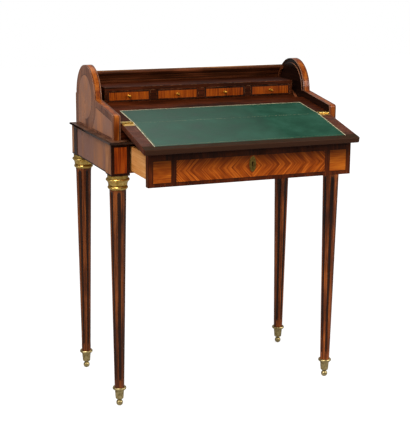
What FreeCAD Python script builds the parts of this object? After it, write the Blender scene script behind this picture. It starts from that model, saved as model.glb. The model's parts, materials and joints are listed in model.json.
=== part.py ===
import FreeCAD, Part
import math
import os

# A lady's writing desk with a mechanism, modelled open. Its main drawer is pulled out, its flap is folded
# forward on the drawer, its cylinder lid is rolled away at the back and its four small drawers are shut.
# Millimetres, X to the right, Y to the back, Z up. Left and right are seen from the front.
# Until the last step, X and Y are 0 between the four legs and Z is 0 on the floor.

V = FreeCAD.Vector
ORIGIN = V(0, 0, 0)
X_AXIS = V(1, 0, 0)
Y_AXIS = V(0, 1, 0)
Z_AXIS = V(0, 0, 1)

# Gaps and clearances
rest_gap = 0.3
hole_clearance = 0.05
small_gap = 0.5
cut_overrun = 5.0

# Carcass
leg_spacing_x = 616.0
leg_spacing_y = 310.0
frieze_bottom_z = 630.0
frieze_height = 81.5
post_side = 50.0
panel_recess = 1.5
panel_lift = 2.0
panel_thickness = 18.0
moulding_overhang = 5.5
moulding_width = 9.5
moulding_height = 5.5
moulding_nose_radius = 2.4
moulding_nose_share = 0.45

# Leg with its capital ring and its sabot
leg_top_radius = 21.8
leg_bottom_radius = 13.0
leg_neck_radius = 18.0
leg_stub_radius = 8.0
flute_count = 6
leg_turns_deg = (-8.0, -15.0, 13.0, 17.0)
flute_top_radius = 6.6
flute_bottom_radius = 4.2
flute_depth_share = 0.55
flute_top_margin = 12.0
flute_bottom_margin = 24.0
capital_height = 37.5
capital_rise_shares = (0.03, 0.125, 0.26, 0.31, 0.5, 0.61, 0.7, 0.78)
capital_flare_shares = (0.2, 0.7)
capital_lip_radius = 22.6
capital_bead_radius = 26.4
capital_cove_radius = 25.0
capital_crown_radius = 31.0
capital_abacus_radius = 27.2
sabot_height = 53.0
sabot_ball_radius = 9.0
sabot_flat_radius = 3.4
sabot_neck_radius = 4.2
sabot_neck_height = 3.0
sabot_floor_thickness = 6.7
sabot_cup_bottom_radius = 10.6
sabot_cup_top_radius = 12.8
sabot_collar_radius = 18.5
sabot_collar_height = 6.5

# Main drawer, its lock and its way in the carcass
drawer_travel = 133.0
drawer_front_recess = 2.5
drawer_front_thickness = 17.5
drawer_front_side_gap = 2.5
drawer_front_top_gap = 1.3
drawer_lip_drop = 7.4
drawer_front_overlap = 2.2
drawer_side_thickness = 10.0
drawer_back_thickness = 9.0
drawer_back_drop = 7.0
drawer_bottom_thickness = 6.0
drawer_bottom_lift = 5.7
drawer_end_gap = 10.5
runner_height = 8.0
runner_inset = 6.3
guide_height = 28.0
guide_gap = 0.7
kicker_gap = 0.5
dust_board_thickness = 6.3
lock_width = 56.0
lock_floor_gap = 3.4
lock_depth = 12.0
lock_top_gap = 0.3
bolt_width = 12.0
bolt_thickness = 4.0
bolt_length = 25.9
bolt_inset = 1.4
bolt_throw = 4.0
mortise_spare = 1.6
keyhole_radius = 2.6
keyhole_slot_width = 3.0
keyhole_slot_length = 11.0
keyhole_lift = 3.5
escutcheon_width = 18.0
escutcheon_height = 40.0
escutcheon_thickness = 1.2

# Cheeks, their arch and the closed back
cheek_thickness = 21.0
cheek_setback = 14.0
cheek_front_setback = 28.0
cheek_front_height = 64.0
cheek_slant_height = 85.0
cheek_corner_radius = 7.0
arch_radius = 86.0
arch_height = 82.0
groove_depth = 2.5
groove_clearance = 0.4
back_board_thickness = 6.5
back_board_height = 83.0
curved_back_thickness = 3.8
curved_back_start_deg = 43.0
curved_back_end_deg = 97.0

# Cylinder lid; its angles run from straight up towards the back
lid_thickness = 7.5
lid_shell_gap = 0.7
lid_turn_deg = 129.0
lid_start_deg = 41.6
lid_end_deg = 174.0
slat_count = 12
slat_bevel = 0.9
lid_end_thickness = 6.5
lid_end_gap = 1.5
lid_rim_width = 6.0
lid_web_start_deg = 70.0
lid_web_end_deg = 155.0
lid_hub_radius = 12.0
lid_pivot_radius = 4.0
lid_pivot_depth = 10.5
crank_pin_radius = 3.0
crank_eye_radius = 8.0
crank_arm_width = 12.0
fork_thickness = 4.0
fork_tine_width = 6.1
fork_slack = 6.5
fork_base_height = 8.3
fork_base_gap = 1.2
fork_tip_margin = 6.4
fork_stem_width = 30.0
fork_stem_lap = 33.0
fork_heel_height = 18.0

# Writing surfaces and the hinges between them
hinge_front_gap = 2.0
hinge_height = 44.5
board_slope_deg = 8.0
board_thickness = 18.0
hinge_lift = 0.8
fold_gap = 0.6
leather_thickness = 1.0
leather_hinge_gap = 0.5
board_band_length = 81.4
flap_side_gap = 1.5
flap_length = 182.0
flap_thickness = 15.0
flap_leather_border = 21.0
flap_undercut = 2.4
flap_corner_radius = 5.0
flap_edge_radius = 2.5
hinge_length = 30.0
hinge_inset = 1.0
hinge_leaf_width = 17.0
hinge_leaf_thickness = 1.6
knuckle_radius = 2.8
knuckle_gap = 0.3
hinge_pin_radius = 1.1
hinge_board_thickness = 18.0
hinge_board_inset = 2.0

# Nest of small drawers
nest_side_gap = 11.0
nest_front_share = 0.696
nest_lid_gap = 4.15
nest_base_thickness = 6.0
nest_opening_height = 30.0
nest_shelf_thickness = 10.0
nest_end_thickness = 6.6
nest_back_thickness = 6.0
nest_bearer_thickness = 18.0
nest_bearer_rabbet = 9.0
nest_rear_bearer_run = 31.0
nest_bearer_inset = 3.0
board_notch_gap = 1.5
small_drawer_count = 4
divider_width = 17.6
small_drawer_travel = 60.0
small_front_thickness = 9.0
small_box_end_gap = 6.0
small_box_headroom = 5.7
small_wall = 5.0
small_bottom_thickness = 3.0
small_bottom_lift = 2.0
knob_ball_radius = 4.4
knob_neck_radius = 1.9
knob_base_radius = 4.0
knob_base_height = 1.5
knob_neck_length = 1.9


def box(x0, x1, y0, y1, z0, z1):
    """A block between two corners."""
    return Part.makeBox(x1 - x0, y1 - y0, z1 - z0, V(x0, y0, z0))


def wire_of(start, steps, to_vector):
    """A closed wire: a step of one point is a line, a step of two an arc through the first to the second."""
    edges = []
    here = start
    for step in steps + [[start]]:
        there = step[-1]
        if len(step) == 2:
            edges.append(Part.Arc(to_vector(here), to_vector(step[0]), to_vector(there)).toShape())
        else:
            edges.append(Part.makeLine(to_vector(here), to_vector(there)))
        here = there
    return Part.Wire(edges)


def prism_x(start, steps, x0, x1):
    """An outline of (y, z) points, drawn out along X."""
    face = Part.Face(wire_of(start, steps, lambda p: V(x0, p[0], p[1])))
    return face.extrude(V(x1 - x0, 0, 0))


def prism_z(points, z0, z1):
    """A plan of (x, y) points, drawn out along Z."""
    face = Part.Face(wire_of(points[0], [[p] for p in points[1:]], lambda p: V(p[0], p[1], z0)))
    return face.extrude(V(0, 0, z1 - z0))


def turned(start, steps):
    """A profile of (radius, height) points, turned round the Z axis."""
    face = Part.Face(wire_of(start, steps, lambda p: V(p[0], 0, p[1])))
    return face.revolve(ORIGIN, Z_AXIS, 360)


def rod_x(y, z, radius, x0, x1):
    """A round rod along X."""
    return Part.makeCylinder(radius, x1 - x0, V(x0, y, z), X_AXIS)


def mirrored(shape):
    """The same piece on the other side of the desk."""
    return shape.mirror(ORIGIN, X_AXIS)


def moved(shape, x, y, z):
    """A copy of a piece in another place."""
    copy = shape.copy()
    copy.translate(V(x, y, z))
    return copy


def fused(first, *others):
    """Several overlapping shapes as one solid."""
    return first.fuse(list(others)).removeSplitter()


def arc_steps(radius, start_deg, end_deg, at):
    """The two points of an arc's step: its middle and its end."""
    middle_deg = (start_deg + end_deg) / 2
    return [at(radius, middle_deg), at(radius, end_deg)]


# Planes and levels that several pieces share
leg_x = leg_spacing_x / 2
leg_y = leg_spacing_y / 2
post_half = post_side / 2
post_inner_x = leg_x - post_half
post_outer_x = leg_x + post_half
post_inner_y = leg_y - post_half
post_outer_y = leg_y + post_half
frieze_top_z = frieze_bottom_z + frieze_height
panel_bottom_z = frieze_bottom_z + panel_lift
side_panel_outer_x = post_outer_x - panel_recess
side_panel_inner_x = side_panel_outer_x - panel_thickness
back_panel_outer_y = post_outer_y - panel_recess
back_panel_inner_y = back_panel_outer_y - panel_thickness
moulding_top_z = frieze_top_z + moulding_height
moulding_outer_x = post_outer_x + moulding_overhang
moulding_outer_y = post_outer_y + moulding_overhang
moulding_inner_x = moulding_outer_x - moulding_width
moulding_inner_y = moulding_outer_y - moulding_width
cheek_half_width = post_outer_x - cheek_setback
cheek_inner_x = cheek_half_width - cheek_thickness
cheek_front_y = cheek_front_setback - post_outer_y
cheek_rear_y = back_panel_outer_y
cheek_front_top_z = moulding_top_z + cheek_front_height
cheek_slant_top_z = moulding_top_z + cheek_slant_height
arch_y = cheek_rear_y - arch_radius
arch_z = moulding_top_z + arch_height
hinge_y = cheek_front_y - hinge_front_gap
hinge_z = moulding_top_z + hinge_height
hinge_board_y = cheek_front_y + hinge_board_inset

pieces = {}


def at_four_legs(shape):
    """The same piece at all four legs."""
    return [moved(shape, sx * leg_x, sy * leg_y, 0) for sy in (-1, 1) for sx in (-1, 1)]


# Legs, capital rings and sabots
capital_bottom_z = frieze_bottom_z - capital_height
leg_shaft_height = capital_bottom_z - sabot_height
ball_centre_z = math.sqrt(sabot_ball_radius ** 2 - sabot_flat_radius ** 2)
sabot_neck_bottom_z = ball_centre_z + math.sqrt(sabot_ball_radius ** 2 - sabot_neck_radius ** 2)
cup_bottom_z = sabot_neck_bottom_z + sabot_neck_height
stub_bottom_z = cup_bottom_z + sabot_floor_thickness


def leg_radius(z):
    """The tapered shaft's radius at a height."""
    share = (z - sabot_height) / leg_shaft_height
    return leg_bottom_radius + share * (leg_top_radius - leg_bottom_radius)


def flute_cutter():
    """What one flute takes out: a slim cone with round ends that leans with the shaft, its seam outside."""
    low_z = sabot_height + flute_bottom_margin
    high_z = capital_bottom_z - flute_top_margin
    low_reach = leg_radius(low_z) + flute_bottom_radius * (1 - flute_depth_share)
    high_reach = leg_radius(high_z) + flute_top_radius * (1 - flute_depth_share)
    length = math.hypot(high_z - low_z, high_reach - low_reach)
    lean_deg = math.degrees(math.atan2(high_reach - low_reach, high_z - low_z))
    low_round = flute_bottom_radius * math.sqrt(1 / 2)
    high_round = flute_top_radius * math.sqrt(1 / 2)
    cutter = turned((0, -flute_bottom_radius), [
        [(low_round, -low_round), (flute_bottom_radius, 0)],
        [(flute_top_radius, length)],
        [(high_round, length + high_round), (0, length + flute_top_radius)],
    ])
    cutter.rotate(ORIGIN, Y_AXIS, lean_deg)
    cutter.translate(V(low_reach, 0, low_z))
    return cutter


def fluted_leg():
    """One leg: a tapered shaft with flutes, a neck for the capital ring and a stub for the sabot."""
    leg = turned((0, stub_bottom_z), [
        [(leg_stub_radius, stub_bottom_z)],
        [(leg_stub_radius, sabot_height)],
        [(leg_bottom_radius, sabot_height)],
        [(leg_top_radius, capital_bottom_z)],
        [(leg_neck_radius, capital_bottom_z)],
        [(leg_neck_radius, frieze_bottom_z)],
        [(0, frieze_bottom_z)],
    ])
    for i in range(flute_count):
        cutter = flute_cutter()
        cutter.rotate(ORIGIN, Z_AXIS, (i + 1 / 2) * 360 / flute_count)
        leg = leg.cut(cutter)
    return leg


def capital_ring():
    """The turned brass ring at the top of a leg: lip, bead, cove, flare, crown and abacus."""
    lip_z, bead_z, bead_end_z, cove_z, flare_z, flare_end_z, crown_z, crown_end_z = [
        capital_bottom_z + share * capital_height for share in capital_rise_shares]
    flare = capital_crown_radius - capital_cove_radius
    flare_radius, flare_end_radius = [capital_cove_radius + share * flare for share in capital_flare_shares]
    return turned((leg_neck_radius, capital_bottom_z), [
        [(capital_lip_radius, capital_bottom_z)],
        [(capital_lip_radius, lip_z)],
        [(capital_bead_radius, bead_z), (capital_lip_radius, bead_end_z)],
        [(capital_cove_radius, cove_z)],
        [(flare_radius, flare_z), (flare_end_radius, flare_end_z)],
        [(capital_crown_radius, crown_z), (capital_abacus_radius, crown_end_z)],
        [(capital_abacus_radius, frieze_bottom_z)],
        [(leg_neck_radius, frieze_bottom_z)],
    ])


def sabot():
    """The brass foot of a leg: ball, neck, cup and collar, with a socket for the leg's stub."""
    collar_bottom_z = sabot_height - sabot_collar_height
    collar_mid_z = sabot_height - sabot_collar_height / 2
    cup_round = sabot_neck_height / 2
    outside = turned((0, 0), [
        [(sabot_flat_radius, 0)],
        [(sabot_ball_radius, ball_centre_z), (sabot_neck_radius, sabot_neck_bottom_z)],
        [(sabot_neck_radius, cup_bottom_z)],
        [(sabot_cup_bottom_radius - cup_round, cup_bottom_z)],
        [(sabot_cup_bottom_radius, cup_bottom_z + cup_round)],
        [(sabot_cup_top_radius, collar_bottom_z)],
        [(sabot_collar_radius - cup_round, collar_bottom_z)],
        [(sabot_collar_radius, collar_mid_z), (sabot_collar_radius - cup_round, sabot_height)],
        [(0, sabot_height)],
    ])
    socket = Part.makeCylinder(leg_stub_radius, sabot_height, V(0, 0, stub_bottom_z))
    return outside.cut(socket)


leg_names = ("leg_front_left", "leg_front_right", "leg_rear_left", "leg_rear_right")
leg = fluted_leg()
for i, (name, turn_deg) in enumerate(zip(leg_names, leg_turns_deg)):
    turned_leg = leg.copy()
    turned_leg.rotate(ORIGIN, Z_AXIS, turn_deg)
    pieces[name] = [at_four_legs(turned_leg)[i]]
pieces["capital_rings"] = at_four_legs(capital_ring())
pieces["sabots"] = at_four_legs(sabot())

# Frieze: corner posts and panels
post = box(-post_half, post_half, -post_half, post_half, frieze_bottom_z, frieze_top_z)
post_names = ("corner_post_front_left", "corner_post_front_right",
              "corner_post_rear_left", "corner_post_rear_right")
for name, shape in zip(post_names, at_four_legs(post)):
    pieces[name] = [shape]
side_panel_right = box(side_panel_inner_x, side_panel_outer_x, -post_inner_y, post_inner_y,
                       panel_bottom_z, frieze_top_z)
pieces["side_panel_left"] = [mirrored(side_panel_right)]
pieces["side_panel_right"] = [side_panel_right]
pieces["back_panel"] = [box(-post_inner_x, post_inner_x, back_panel_inner_y, back_panel_outer_y,
                            panel_bottom_z, frieze_top_z)]

# Waist: moulding, seats of the cheeks and front rail


def moulding_strip(half_length, outer, inner):
    """One mitred strip along the front, with a rounded nose."""
    mitre = outer - inner
    strip = prism_z([(-half_length, -outer), (half_length, -outer),
                     (half_length - mitre, -inner), (mitre - half_length, -inner)],
                    frieze_top_z, moulding_top_z)
    nose = [e for e in strip.Edges if abs(e.BoundBox.YMax + outer) < small_gap and e.Length > half_length]
    return strip.makeFillet(min(moulding_nose_radius, moulding_nose_share * moulding_height), nose)


front_strip = moulding_strip(moulding_outer_x, moulding_outer_y, moulding_inner_y)
rear_strip = front_strip.copy()
rear_strip.rotate(ORIGIN, Z_AXIS, 180)
right_strip = moulding_strip(moulding_outer_y, moulding_outer_x, moulding_inner_x)
right_strip.rotate(ORIGIN, Z_AXIS, 90)
pieces["waist_moulding"] = [front_strip, right_strip, rear_strip, mirrored(right_strip)]

seat_right = box(cheek_inner_x, moulding_inner_x, -moulding_inner_y, moulding_inner_y,
                 frieze_top_z, moulding_top_z)
pieces["cheek_seats"] = [mirrored(seat_right), seat_right]

# The main drawer where it is shut, in Y; everything on it is moved forward by its travel
shut_front_y = -post_outer_y + drawer_front_recess
shut_front_rear_y = shut_front_y + drawer_front_thickness
drawer_front_top_z = frieze_top_z - drawer_front_top_gap
drawer_front_bottom_z = frieze_bottom_z - drawer_lip_drop
drawer_front_half = post_inner_x - drawer_front_side_gap
drawer_side_outer_x = drawer_front_half - drawer_front_overlap
drawer_side_inner_x = drawer_side_outer_x - drawer_side_thickness
runner_top_z = panel_bottom_z + runner_height
drawer_side_bottom_z = runner_top_z + rest_gap
dust_board_bottom_z = frieze_top_z - dust_board_thickness
drawer_side_top_z = dust_board_bottom_z - kicker_gap
bolt_shut_front_y = shut_front_rear_y + bolt_inset
bolt_shut_rear_y = bolt_shut_front_y + bolt_thickness
mortise_half = bolt_width / 2 + small_gap
bolt_top_z = drawer_front_top_z - lock_top_gap

front_rail = box(-cheek_inner_x, cheek_inner_x, -moulding_inner_y, hinge_board_y,
                 frieze_top_z, moulding_top_z)
mortise = box(-mortise_half, mortise_half, bolt_shut_front_y - small_gap, bolt_shut_rear_y + small_gap,
              frieze_top_z - cut_overrun, bolt_top_z + bolt_throw + mortise_spare)
pieces["front_rail"] = [front_rail.cut(mortise)]

# Runners with their guides


def runner_right():
    """The rail under the right drawer side, with the guide beside it that keeps the drawer straight."""
    inner_x = drawer_side_inner_x - runner_inset
    guide_x = drawer_side_outer_x + guide_gap
    guide_top_z = runner_top_z + guide_height
    front_y = shut_front_rear_y + small_gap
    rail = box(inner_x, post_inner_x, front_y, back_panel_inner_y, panel_bottom_z, runner_top_z)
    guide = box(guide_x, post_inner_x, front_y, back_panel_inner_y, runner_top_z, guide_top_z)
    filler = box(post_inner_x, side_panel_inner_x, -post_inner_y, post_inner_y, panel_bottom_z, guide_top_z)
    return fused(rail, guide, filler)


pieces["drawer_runners"] = [mirrored(runner_right()), runner_right()]

# The lid's turning: the crank pins swing alike to both sides of straight down
crank_swing = math.radians(lid_turn_deg / 2)
crank_radius = drawer_travel / 2 / math.sin(crank_swing)
crank_rest_y = arch_y - crank_radius * math.sin(crank_swing)
crank_rest_z = arch_z - crank_radius * math.cos(crank_swing)
fork_half = crank_pin_radius + fork_slack
fork_outer_half = fork_half + fork_tine_width
fork_outer_x = drawer_side_outer_x + fork_thickness
fork_slot_bottom_z = arch_z - crank_radius - crank_pin_radius - fork_base_gap
fork_base_bottom_z = fork_slot_bottom_z - fork_base_height
fork_tip_z = crank_rest_z + fork_tip_margin
fork_stem_front_y = crank_rest_y - fork_half - fork_stem_lap
fork_stem_rear_y = fork_stem_front_y + fork_stem_width
fork_front_y = crank_rest_y - fork_outer_half

# Dust board over the drawer, cut back at both sides where the forks pass
dust_narrow_half = drawer_side_outer_x - fork_thickness / 2
dust_wide_end_y = fork_stem_front_y - fork_thickness
dust_front_y = shut_front_rear_y + fork_thickness / 2
dust_board = prism_z([
    (-post_inner_x, dust_front_y), (post_inner_x, dust_front_y), (post_inner_x, -post_inner_y),
    (side_panel_inner_x, -post_inner_y), (side_panel_inner_x, dust_wide_end_y),
    (dust_narrow_half, dust_wide_end_y), (dust_narrow_half, back_panel_inner_y),
    (-dust_narrow_half, back_panel_inner_y), (-dust_narrow_half, dust_wide_end_y),
    (-side_panel_inner_x, dust_wide_end_y), (-side_panel_inner_x, -post_inner_y),
    (-post_inner_x, -post_inner_y),
], dust_board_bottom_z, frieze_top_z)
bolt_notch = box(-mortise_half, mortise_half, dust_front_y - cut_overrun, bolt_shut_rear_y + small_gap,
                 dust_board_bottom_z - cut_overrun, frieze_top_z + cut_overrun)
pieces["dust_board"] = [dust_board.cut(bolt_notch)]

# Cheeks with their arch, groove and pivot hole


def at_arch(radius, turn_deg):
    """A (y, z) point about the lid's axis; the angle runs from straight up towards the back."""
    turn = math.radians(turn_deg)
    return (arch_y + radius * math.sin(turn), arch_z + radius * math.cos(turn))


def ring_sector(inner, outer, start_deg, end_deg, x0, x1):
    """Part of a ring about the lid's axis."""
    return prism_x(at_arch(outer, start_deg), [
        arc_steps(outer, start_deg, end_deg, at_arch),
        [at_arch(inner, end_deg)],
        arc_steps(inner, end_deg, start_deg, at_arch),
    ], x0, x1)


curved_back_inner = arch_radius - curved_back_thickness
lid_outer = curved_back_inner - lid_shell_gap
lid_inner = lid_outer - lid_thickness
lid_closed_start_deg = lid_start_deg - lid_turn_deg


def cheek_right():
    """The right cheek: a slanted top in front, then a round arch, and a straight rear edge."""
    slant_rise = cheek_slant_top_z - arch_z
    slant_end_y = arch_y - math.sqrt(arch_radius ** 2 - slant_rise ** 2)
    slant = math.atan2(cheek_slant_top_z - cheek_front_top_z, slant_end_y - cheek_front_y)
    half_corner = (math.pi / 2 - slant) / 2
    tangent = cheek_corner_radius * math.tan(half_corner)
    corner_bottom_z = cheek_front_top_z - tangent
    corner_middle = (cheek_front_y + cheek_corner_radius * (1 - math.cos(half_corner)),
                     corner_bottom_z + cheek_corner_radius * math.sin(half_corner))
    corner_end = (cheek_front_y + tangent * math.cos(slant), cheek_front_top_z + tangent * math.sin(slant))
    arch_start_deg = -math.degrees(math.acos(slant_rise / arch_radius))
    body = prism_x((cheek_front_y, moulding_top_z), [
        [(cheek_front_y, corner_bottom_z)],
        [corner_middle, corner_end],
        [(slant_end_y, cheek_slant_top_z)],
        arc_steps(arch_radius, arch_start_deg, 90, at_arch),
        [(cheek_rear_y, moulding_top_z)],
    ], cheek_inner_x, cheek_half_width)
    groove_outer = lid_outer + groove_clearance
    groove_inner = lid_inner - groove_clearance
    groove_margin_deg = math.degrees(2 * groove_clearance / lid_inner)
    groove = ring_sector(groove_inner, groove_outer,
                         lid_closed_start_deg - groove_margin_deg, lid_end_deg + groove_margin_deg,
                         cheek_inner_x - cut_overrun, cheek_inner_x + groove_depth)
    pivot_hole = rod_x(arch_y, arch_z, lid_pivot_radius + hole_clearance,
                       cheek_inner_x - cut_overrun, cheek_inner_x + lid_pivot_depth)
    return body.cut([groove, pivot_hole])


pieces["cheek_left"] = [mirrored(cheek_right())]
pieces["cheek_right"] = [cheek_right()]

# The closed back: a flat board below and a curved shell above
pieces["back_board"] = [box(-cheek_half_width, cheek_half_width,
                            cheek_rear_y, cheek_rear_y + back_board_thickness,
                            moulding_top_z, moulding_top_z + back_board_height)]
pieces["curved_back"] = [ring_sector(curved_back_inner, arch_radius,
                                     curved_back_start_deg, curved_back_end_deg,
                                     -cheek_inner_x, cheek_inner_x)]

# The cylinder lid: slats edge to edge, on an end frame at each side


def lid_slat(start_deg, end_deg):
    """One slat, as wide as its share of the arc, with bevelled edges inside and outside."""
    bevel_deg = math.degrees(slat_bevel / lid_outer)
    slat_half = cheek_inner_x + groove_depth - rest_gap
    outer_low = lid_outer - slat_bevel
    inner_high = lid_inner + slat_bevel
    return prism_x(at_arch(lid_outer, start_deg + bevel_deg), [
        arc_steps(lid_outer, start_deg + bevel_deg, end_deg - bevel_deg, at_arch),
        [at_arch(outer_low, end_deg)],
        [at_arch(inner_high, end_deg)],
        [at_arch(lid_inner, end_deg - bevel_deg)],
        arc_steps(lid_inner, end_deg - bevel_deg, start_deg + bevel_deg, at_arch),
        [at_arch(inner_high, start_deg)],
        [at_arch(outer_low, start_deg)],
    ], -slat_half, slat_half)


slat_turn_deg = (lid_end_deg - lid_start_deg) / slat_count
slat_starts_deg = [lid_start_deg + i * slat_turn_deg for i in range(slat_count)]
pieces["lid_slats"] = [lid_slat(start_deg, start_deg + slat_turn_deg) for start_deg in slat_starts_deg]

lid_end_outer_x = cheek_inner_x - lid_end_gap
lid_end_inner_x = lid_end_outer_x - lid_end_thickness


def lid_end_right():
    """The lid's right end frame: rim, web, hub and the crank with its eye."""
    rim = ring_sector(lid_inner - lid_rim_width, lid_inner, lid_start_deg, lid_end_deg,
                      lid_end_inner_x, lid_end_outer_x)
    web = ring_sector(lid_pivot_radius, lid_inner - lid_rim_width / 2, lid_web_start_deg, lid_web_end_deg,
                      lid_end_inner_x, lid_end_outer_x)
    hub = rod_x(arch_y, arch_z, lid_hub_radius, lid_end_inner_x, lid_end_outer_x)
    eye = rod_x(crank_rest_y, crank_rest_z, crank_eye_radius, lid_end_inner_x, lid_end_outer_x)
    arm = box(lid_end_inner_x, lid_end_outer_x, arch_y - crank_arm_width / 2, arch_y + crank_arm_width / 2,
              arch_z - crank_radius, arch_z)
    arm.rotate(V(0, arch_y, arch_z), X_AXIS, -math.degrees(crank_swing))
    bore_x0 = lid_end_inner_x - cut_overrun
    bore_x1 = lid_end_outer_x + cut_overrun
    pivot_bore = rod_x(arch_y, arch_z, lid_pivot_radius, bore_x0, bore_x1)
    crank_bore = rod_x(crank_rest_y, crank_rest_z, crank_pin_radius, bore_x0, bore_x1)
    return fused(rim, web, hub, arm, eye).cut([pivot_bore, crank_bore])


pieces["lid_end_left"] = [mirrored(lid_end_right())]
pieces["lid_end_right"] = [lid_end_right()]
pivot_pin = rod_x(arch_y, arch_z, lid_pivot_radius,
                  lid_end_inner_x, cheek_inner_x + lid_pivot_depth - rest_gap)
crank_pin = rod_x(crank_rest_y, crank_rest_z, crank_pin_radius,
                  drawer_side_outer_x - rest_gap, lid_end_outer_x)
pieces["lid_pins"] = [mirrored(pivot_pin), mirrored(crank_pin), pivot_pin, crank_pin]

# Writing surfaces: built flat about the hinge line, then turned to their slopes


def about_hinge(shape, slope_deg):
    """Put a piece that was built flat about the hinge line at its place; a positive slope lifts its rear."""
    shape.rotate(ORIGIN, X_AXIS, slope_deg)
    shape.translate(V(0, hinge_y, hinge_z))
    return shape


flap_half_width = cheek_inner_x - flap_side_gap
hinge_outer_x = flap_half_width - hinge_inset
hinge_inner_x = hinge_outer_x - hinge_length
leather_half_width = hinge_inner_x - leather_hinge_gap
hinge_reach = knuckle_radius + knuckle_gap
knuckle_length = (hinge_length - 2 * knuckle_gap) / 3
leaf_bottom = -hinge_lift - hinge_leaf_thickness
board_slope = math.radians(board_slope_deg)


def hinge_pocket(side):
    """What a board loses for the right hinge: the bed of its leaf and room for the knuckles."""
    low_y, high_y = sorted((0, side * hinge_leaf_width))
    bed = box(hinge_inner_x, hinge_outer_x, low_y, high_y, leaf_bottom, cut_overrun)
    room = rod_x(0, 0, hinge_reach, hinge_inner_x - knuckle_gap, hinge_outer_x + knuckle_gap)
    return fused(bed, room)


def leather_bed(start_y, end_y):
    """What a board loses for its leather."""
    low_y, high_y = sorted((start_y, end_y))
    return box(-leather_half_width, leather_half_width, low_y, high_y,
               -hinge_lift - leather_thickness, cut_overrun)


def leather_sheet(start_y, end_y):
    """The leather itself, flush with the board."""
    low_y, high_y = sorted((start_y, end_y))
    return box(-leather_half_width, leather_half_width, low_y, high_y,
               -hinge_lift - leather_thickness, -hinge_lift)


nest_front_y = arch_y - nest_front_share * lid_inner
board_run = (nest_front_y - hinge_y) / math.cos(board_slope)
fixed_leather_length = board_run - board_band_length
board = box(-cheek_inner_x, cheek_inner_x, fold_gap, board_run + board_thickness,
            -hinge_lift - board_thickness, -hinge_lift)
board = board.cut([leather_bed(0, fixed_leather_length), hinge_pocket(1), mirrored(hinge_pocket(1))])
board = about_hinge(board, board_slope_deg)
behind_board = box(-cheek_half_width, cheek_half_width, nest_front_y, cheek_rear_y, frieze_top_z, arch_z)
board_notch_y = fork_front_y - board_notch_gap
board_notch = box(dust_narrow_half, cheek_half_width, board_notch_y, cheek_rear_y, frieze_top_z, arch_z)
pieces["writing_board"] = [board.cut([behind_board, board_notch, mirrored(board_notch)])]
fixed_leather = leather_sheet(fold_gap, fixed_leather_length)
pieces["writing_board_leather"] = [about_hinge(fixed_leather, board_slope_deg)]

# The flap rests on the pulled-out drawer: its slope follows from the drawer front's top edge
open_front_y = shut_front_y - drawer_travel
rest_run = hinge_y - open_front_y
rest_drop = hinge_z - drawer_front_top_z - rest_gap
flap_underside = hinge_lift + flap_thickness
flap_slope = math.atan2(rest_drop, rest_run) - math.asin(flap_underside / math.hypot(rest_run, rest_drop))
flap_slope_deg = math.degrees(flap_slope)
flap_fold_deg = 180 + flap_slope_deg - board_slope_deg


def flap_board():
    """The flap's board: rounded front corners and edges, and an undercut rear edge that clears the board."""
    body = prism_x((-fold_gap, -hinge_lift), [
        [(-flap_length, -hinge_lift)],
        [(-flap_length, -flap_underside)],
        [(-fold_gap - flap_undercut, -flap_underside)],
    ], -flap_half_width, flap_half_width)
    front_edges = [e for e in body.Edges if e.BoundBox.YMax < small_gap - flap_length]
    body = body.makeFillet(flap_corner_radius, [e for e in front_edges if e.Length < flap_length])
    front_edges = [e for e in body.Edges if e.BoundBox.YMax < small_gap - flap_length]
    body = body.makeFillet(flap_edge_radius, [e for e in front_edges if e.Length > flap_length])
    leather_end = flap_leather_border - flap_length
    return body.cut([leather_bed(0, leather_end), hinge_pocket(-1), mirrored(hinge_pocket(-1))])


pieces["flap_board"] = [about_hinge(flap_board(), flap_slope_deg)]
flap_leather = leather_sheet(-fold_gap, flap_leather_border - flap_length)
pieces["flap_leather"] = [about_hinge(flap_leather, flap_slope_deg)]


def hinge_leaf_right(side, knuckles):
    """One leaf of the right hinge, with its own knuckles round the pin."""
    low_y, high_y = sorted((side * hinge_reach, side * hinge_leaf_width))
    tab_low_y, tab_high_y = sorted((0, side * hinge_reach))
    shapes = []
    for i in knuckles:
        x0 = hinge_inner_x + i * (knuckle_length + knuckle_gap)
        x1 = x0 + knuckle_length
        shapes.append(box(x0, x1, tab_low_y, tab_high_y, leaf_bottom, -hinge_lift))
        shapes.append(rod_x(0, 0, knuckle_radius, x0, x1))
    plate = box(hinge_inner_x, hinge_outer_x, low_y, high_y, leaf_bottom, -hinge_lift)
    bore = rod_x(0, 0, hinge_pin_radius + hole_clearance,
                 hinge_inner_x - cut_overrun, hinge_outer_x + cut_overrun)
    return fused(plate, *shapes).cut(bore)


fixed_leaf = about_hinge(hinge_leaf_right(1, (0, 2)), board_slope_deg)
flap_leaf = about_hinge(hinge_leaf_right(-1, (1,)), flap_slope_deg)
hinge_pin = rod_x(hinge_y, hinge_z, hinge_pin_radius, hinge_inner_x, hinge_outer_x)
pieces["hinge_leaves_fixed"] = [mirrored(fixed_leaf), fixed_leaf]
pieces["hinge_leaves_flap"] = [mirrored(flap_leaf), flap_leaf]
pieces["hinge_pins"] = [mirrored(hinge_pin), hinge_pin]


def board_z(y, depth):
    """The height of the writing board at a place, so far below its top face."""
    return hinge_z + (y - hinge_y) * math.tan(board_slope) - (hinge_lift + depth) / math.cos(board_slope)


hinge_board_rear_y = hinge_board_y + hinge_board_thickness
pieces["hinge_board"] = [prism_x((hinge_board_y, moulding_top_z), [
    [(hinge_board_rear_y, moulding_top_z)],
    [(hinge_board_rear_y, board_z(hinge_board_rear_y, board_thickness))],
    [(hinge_board_y, board_z(hinge_board_y, board_thickness))],
], -cheek_inner_x, cheek_inner_x)]

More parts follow.
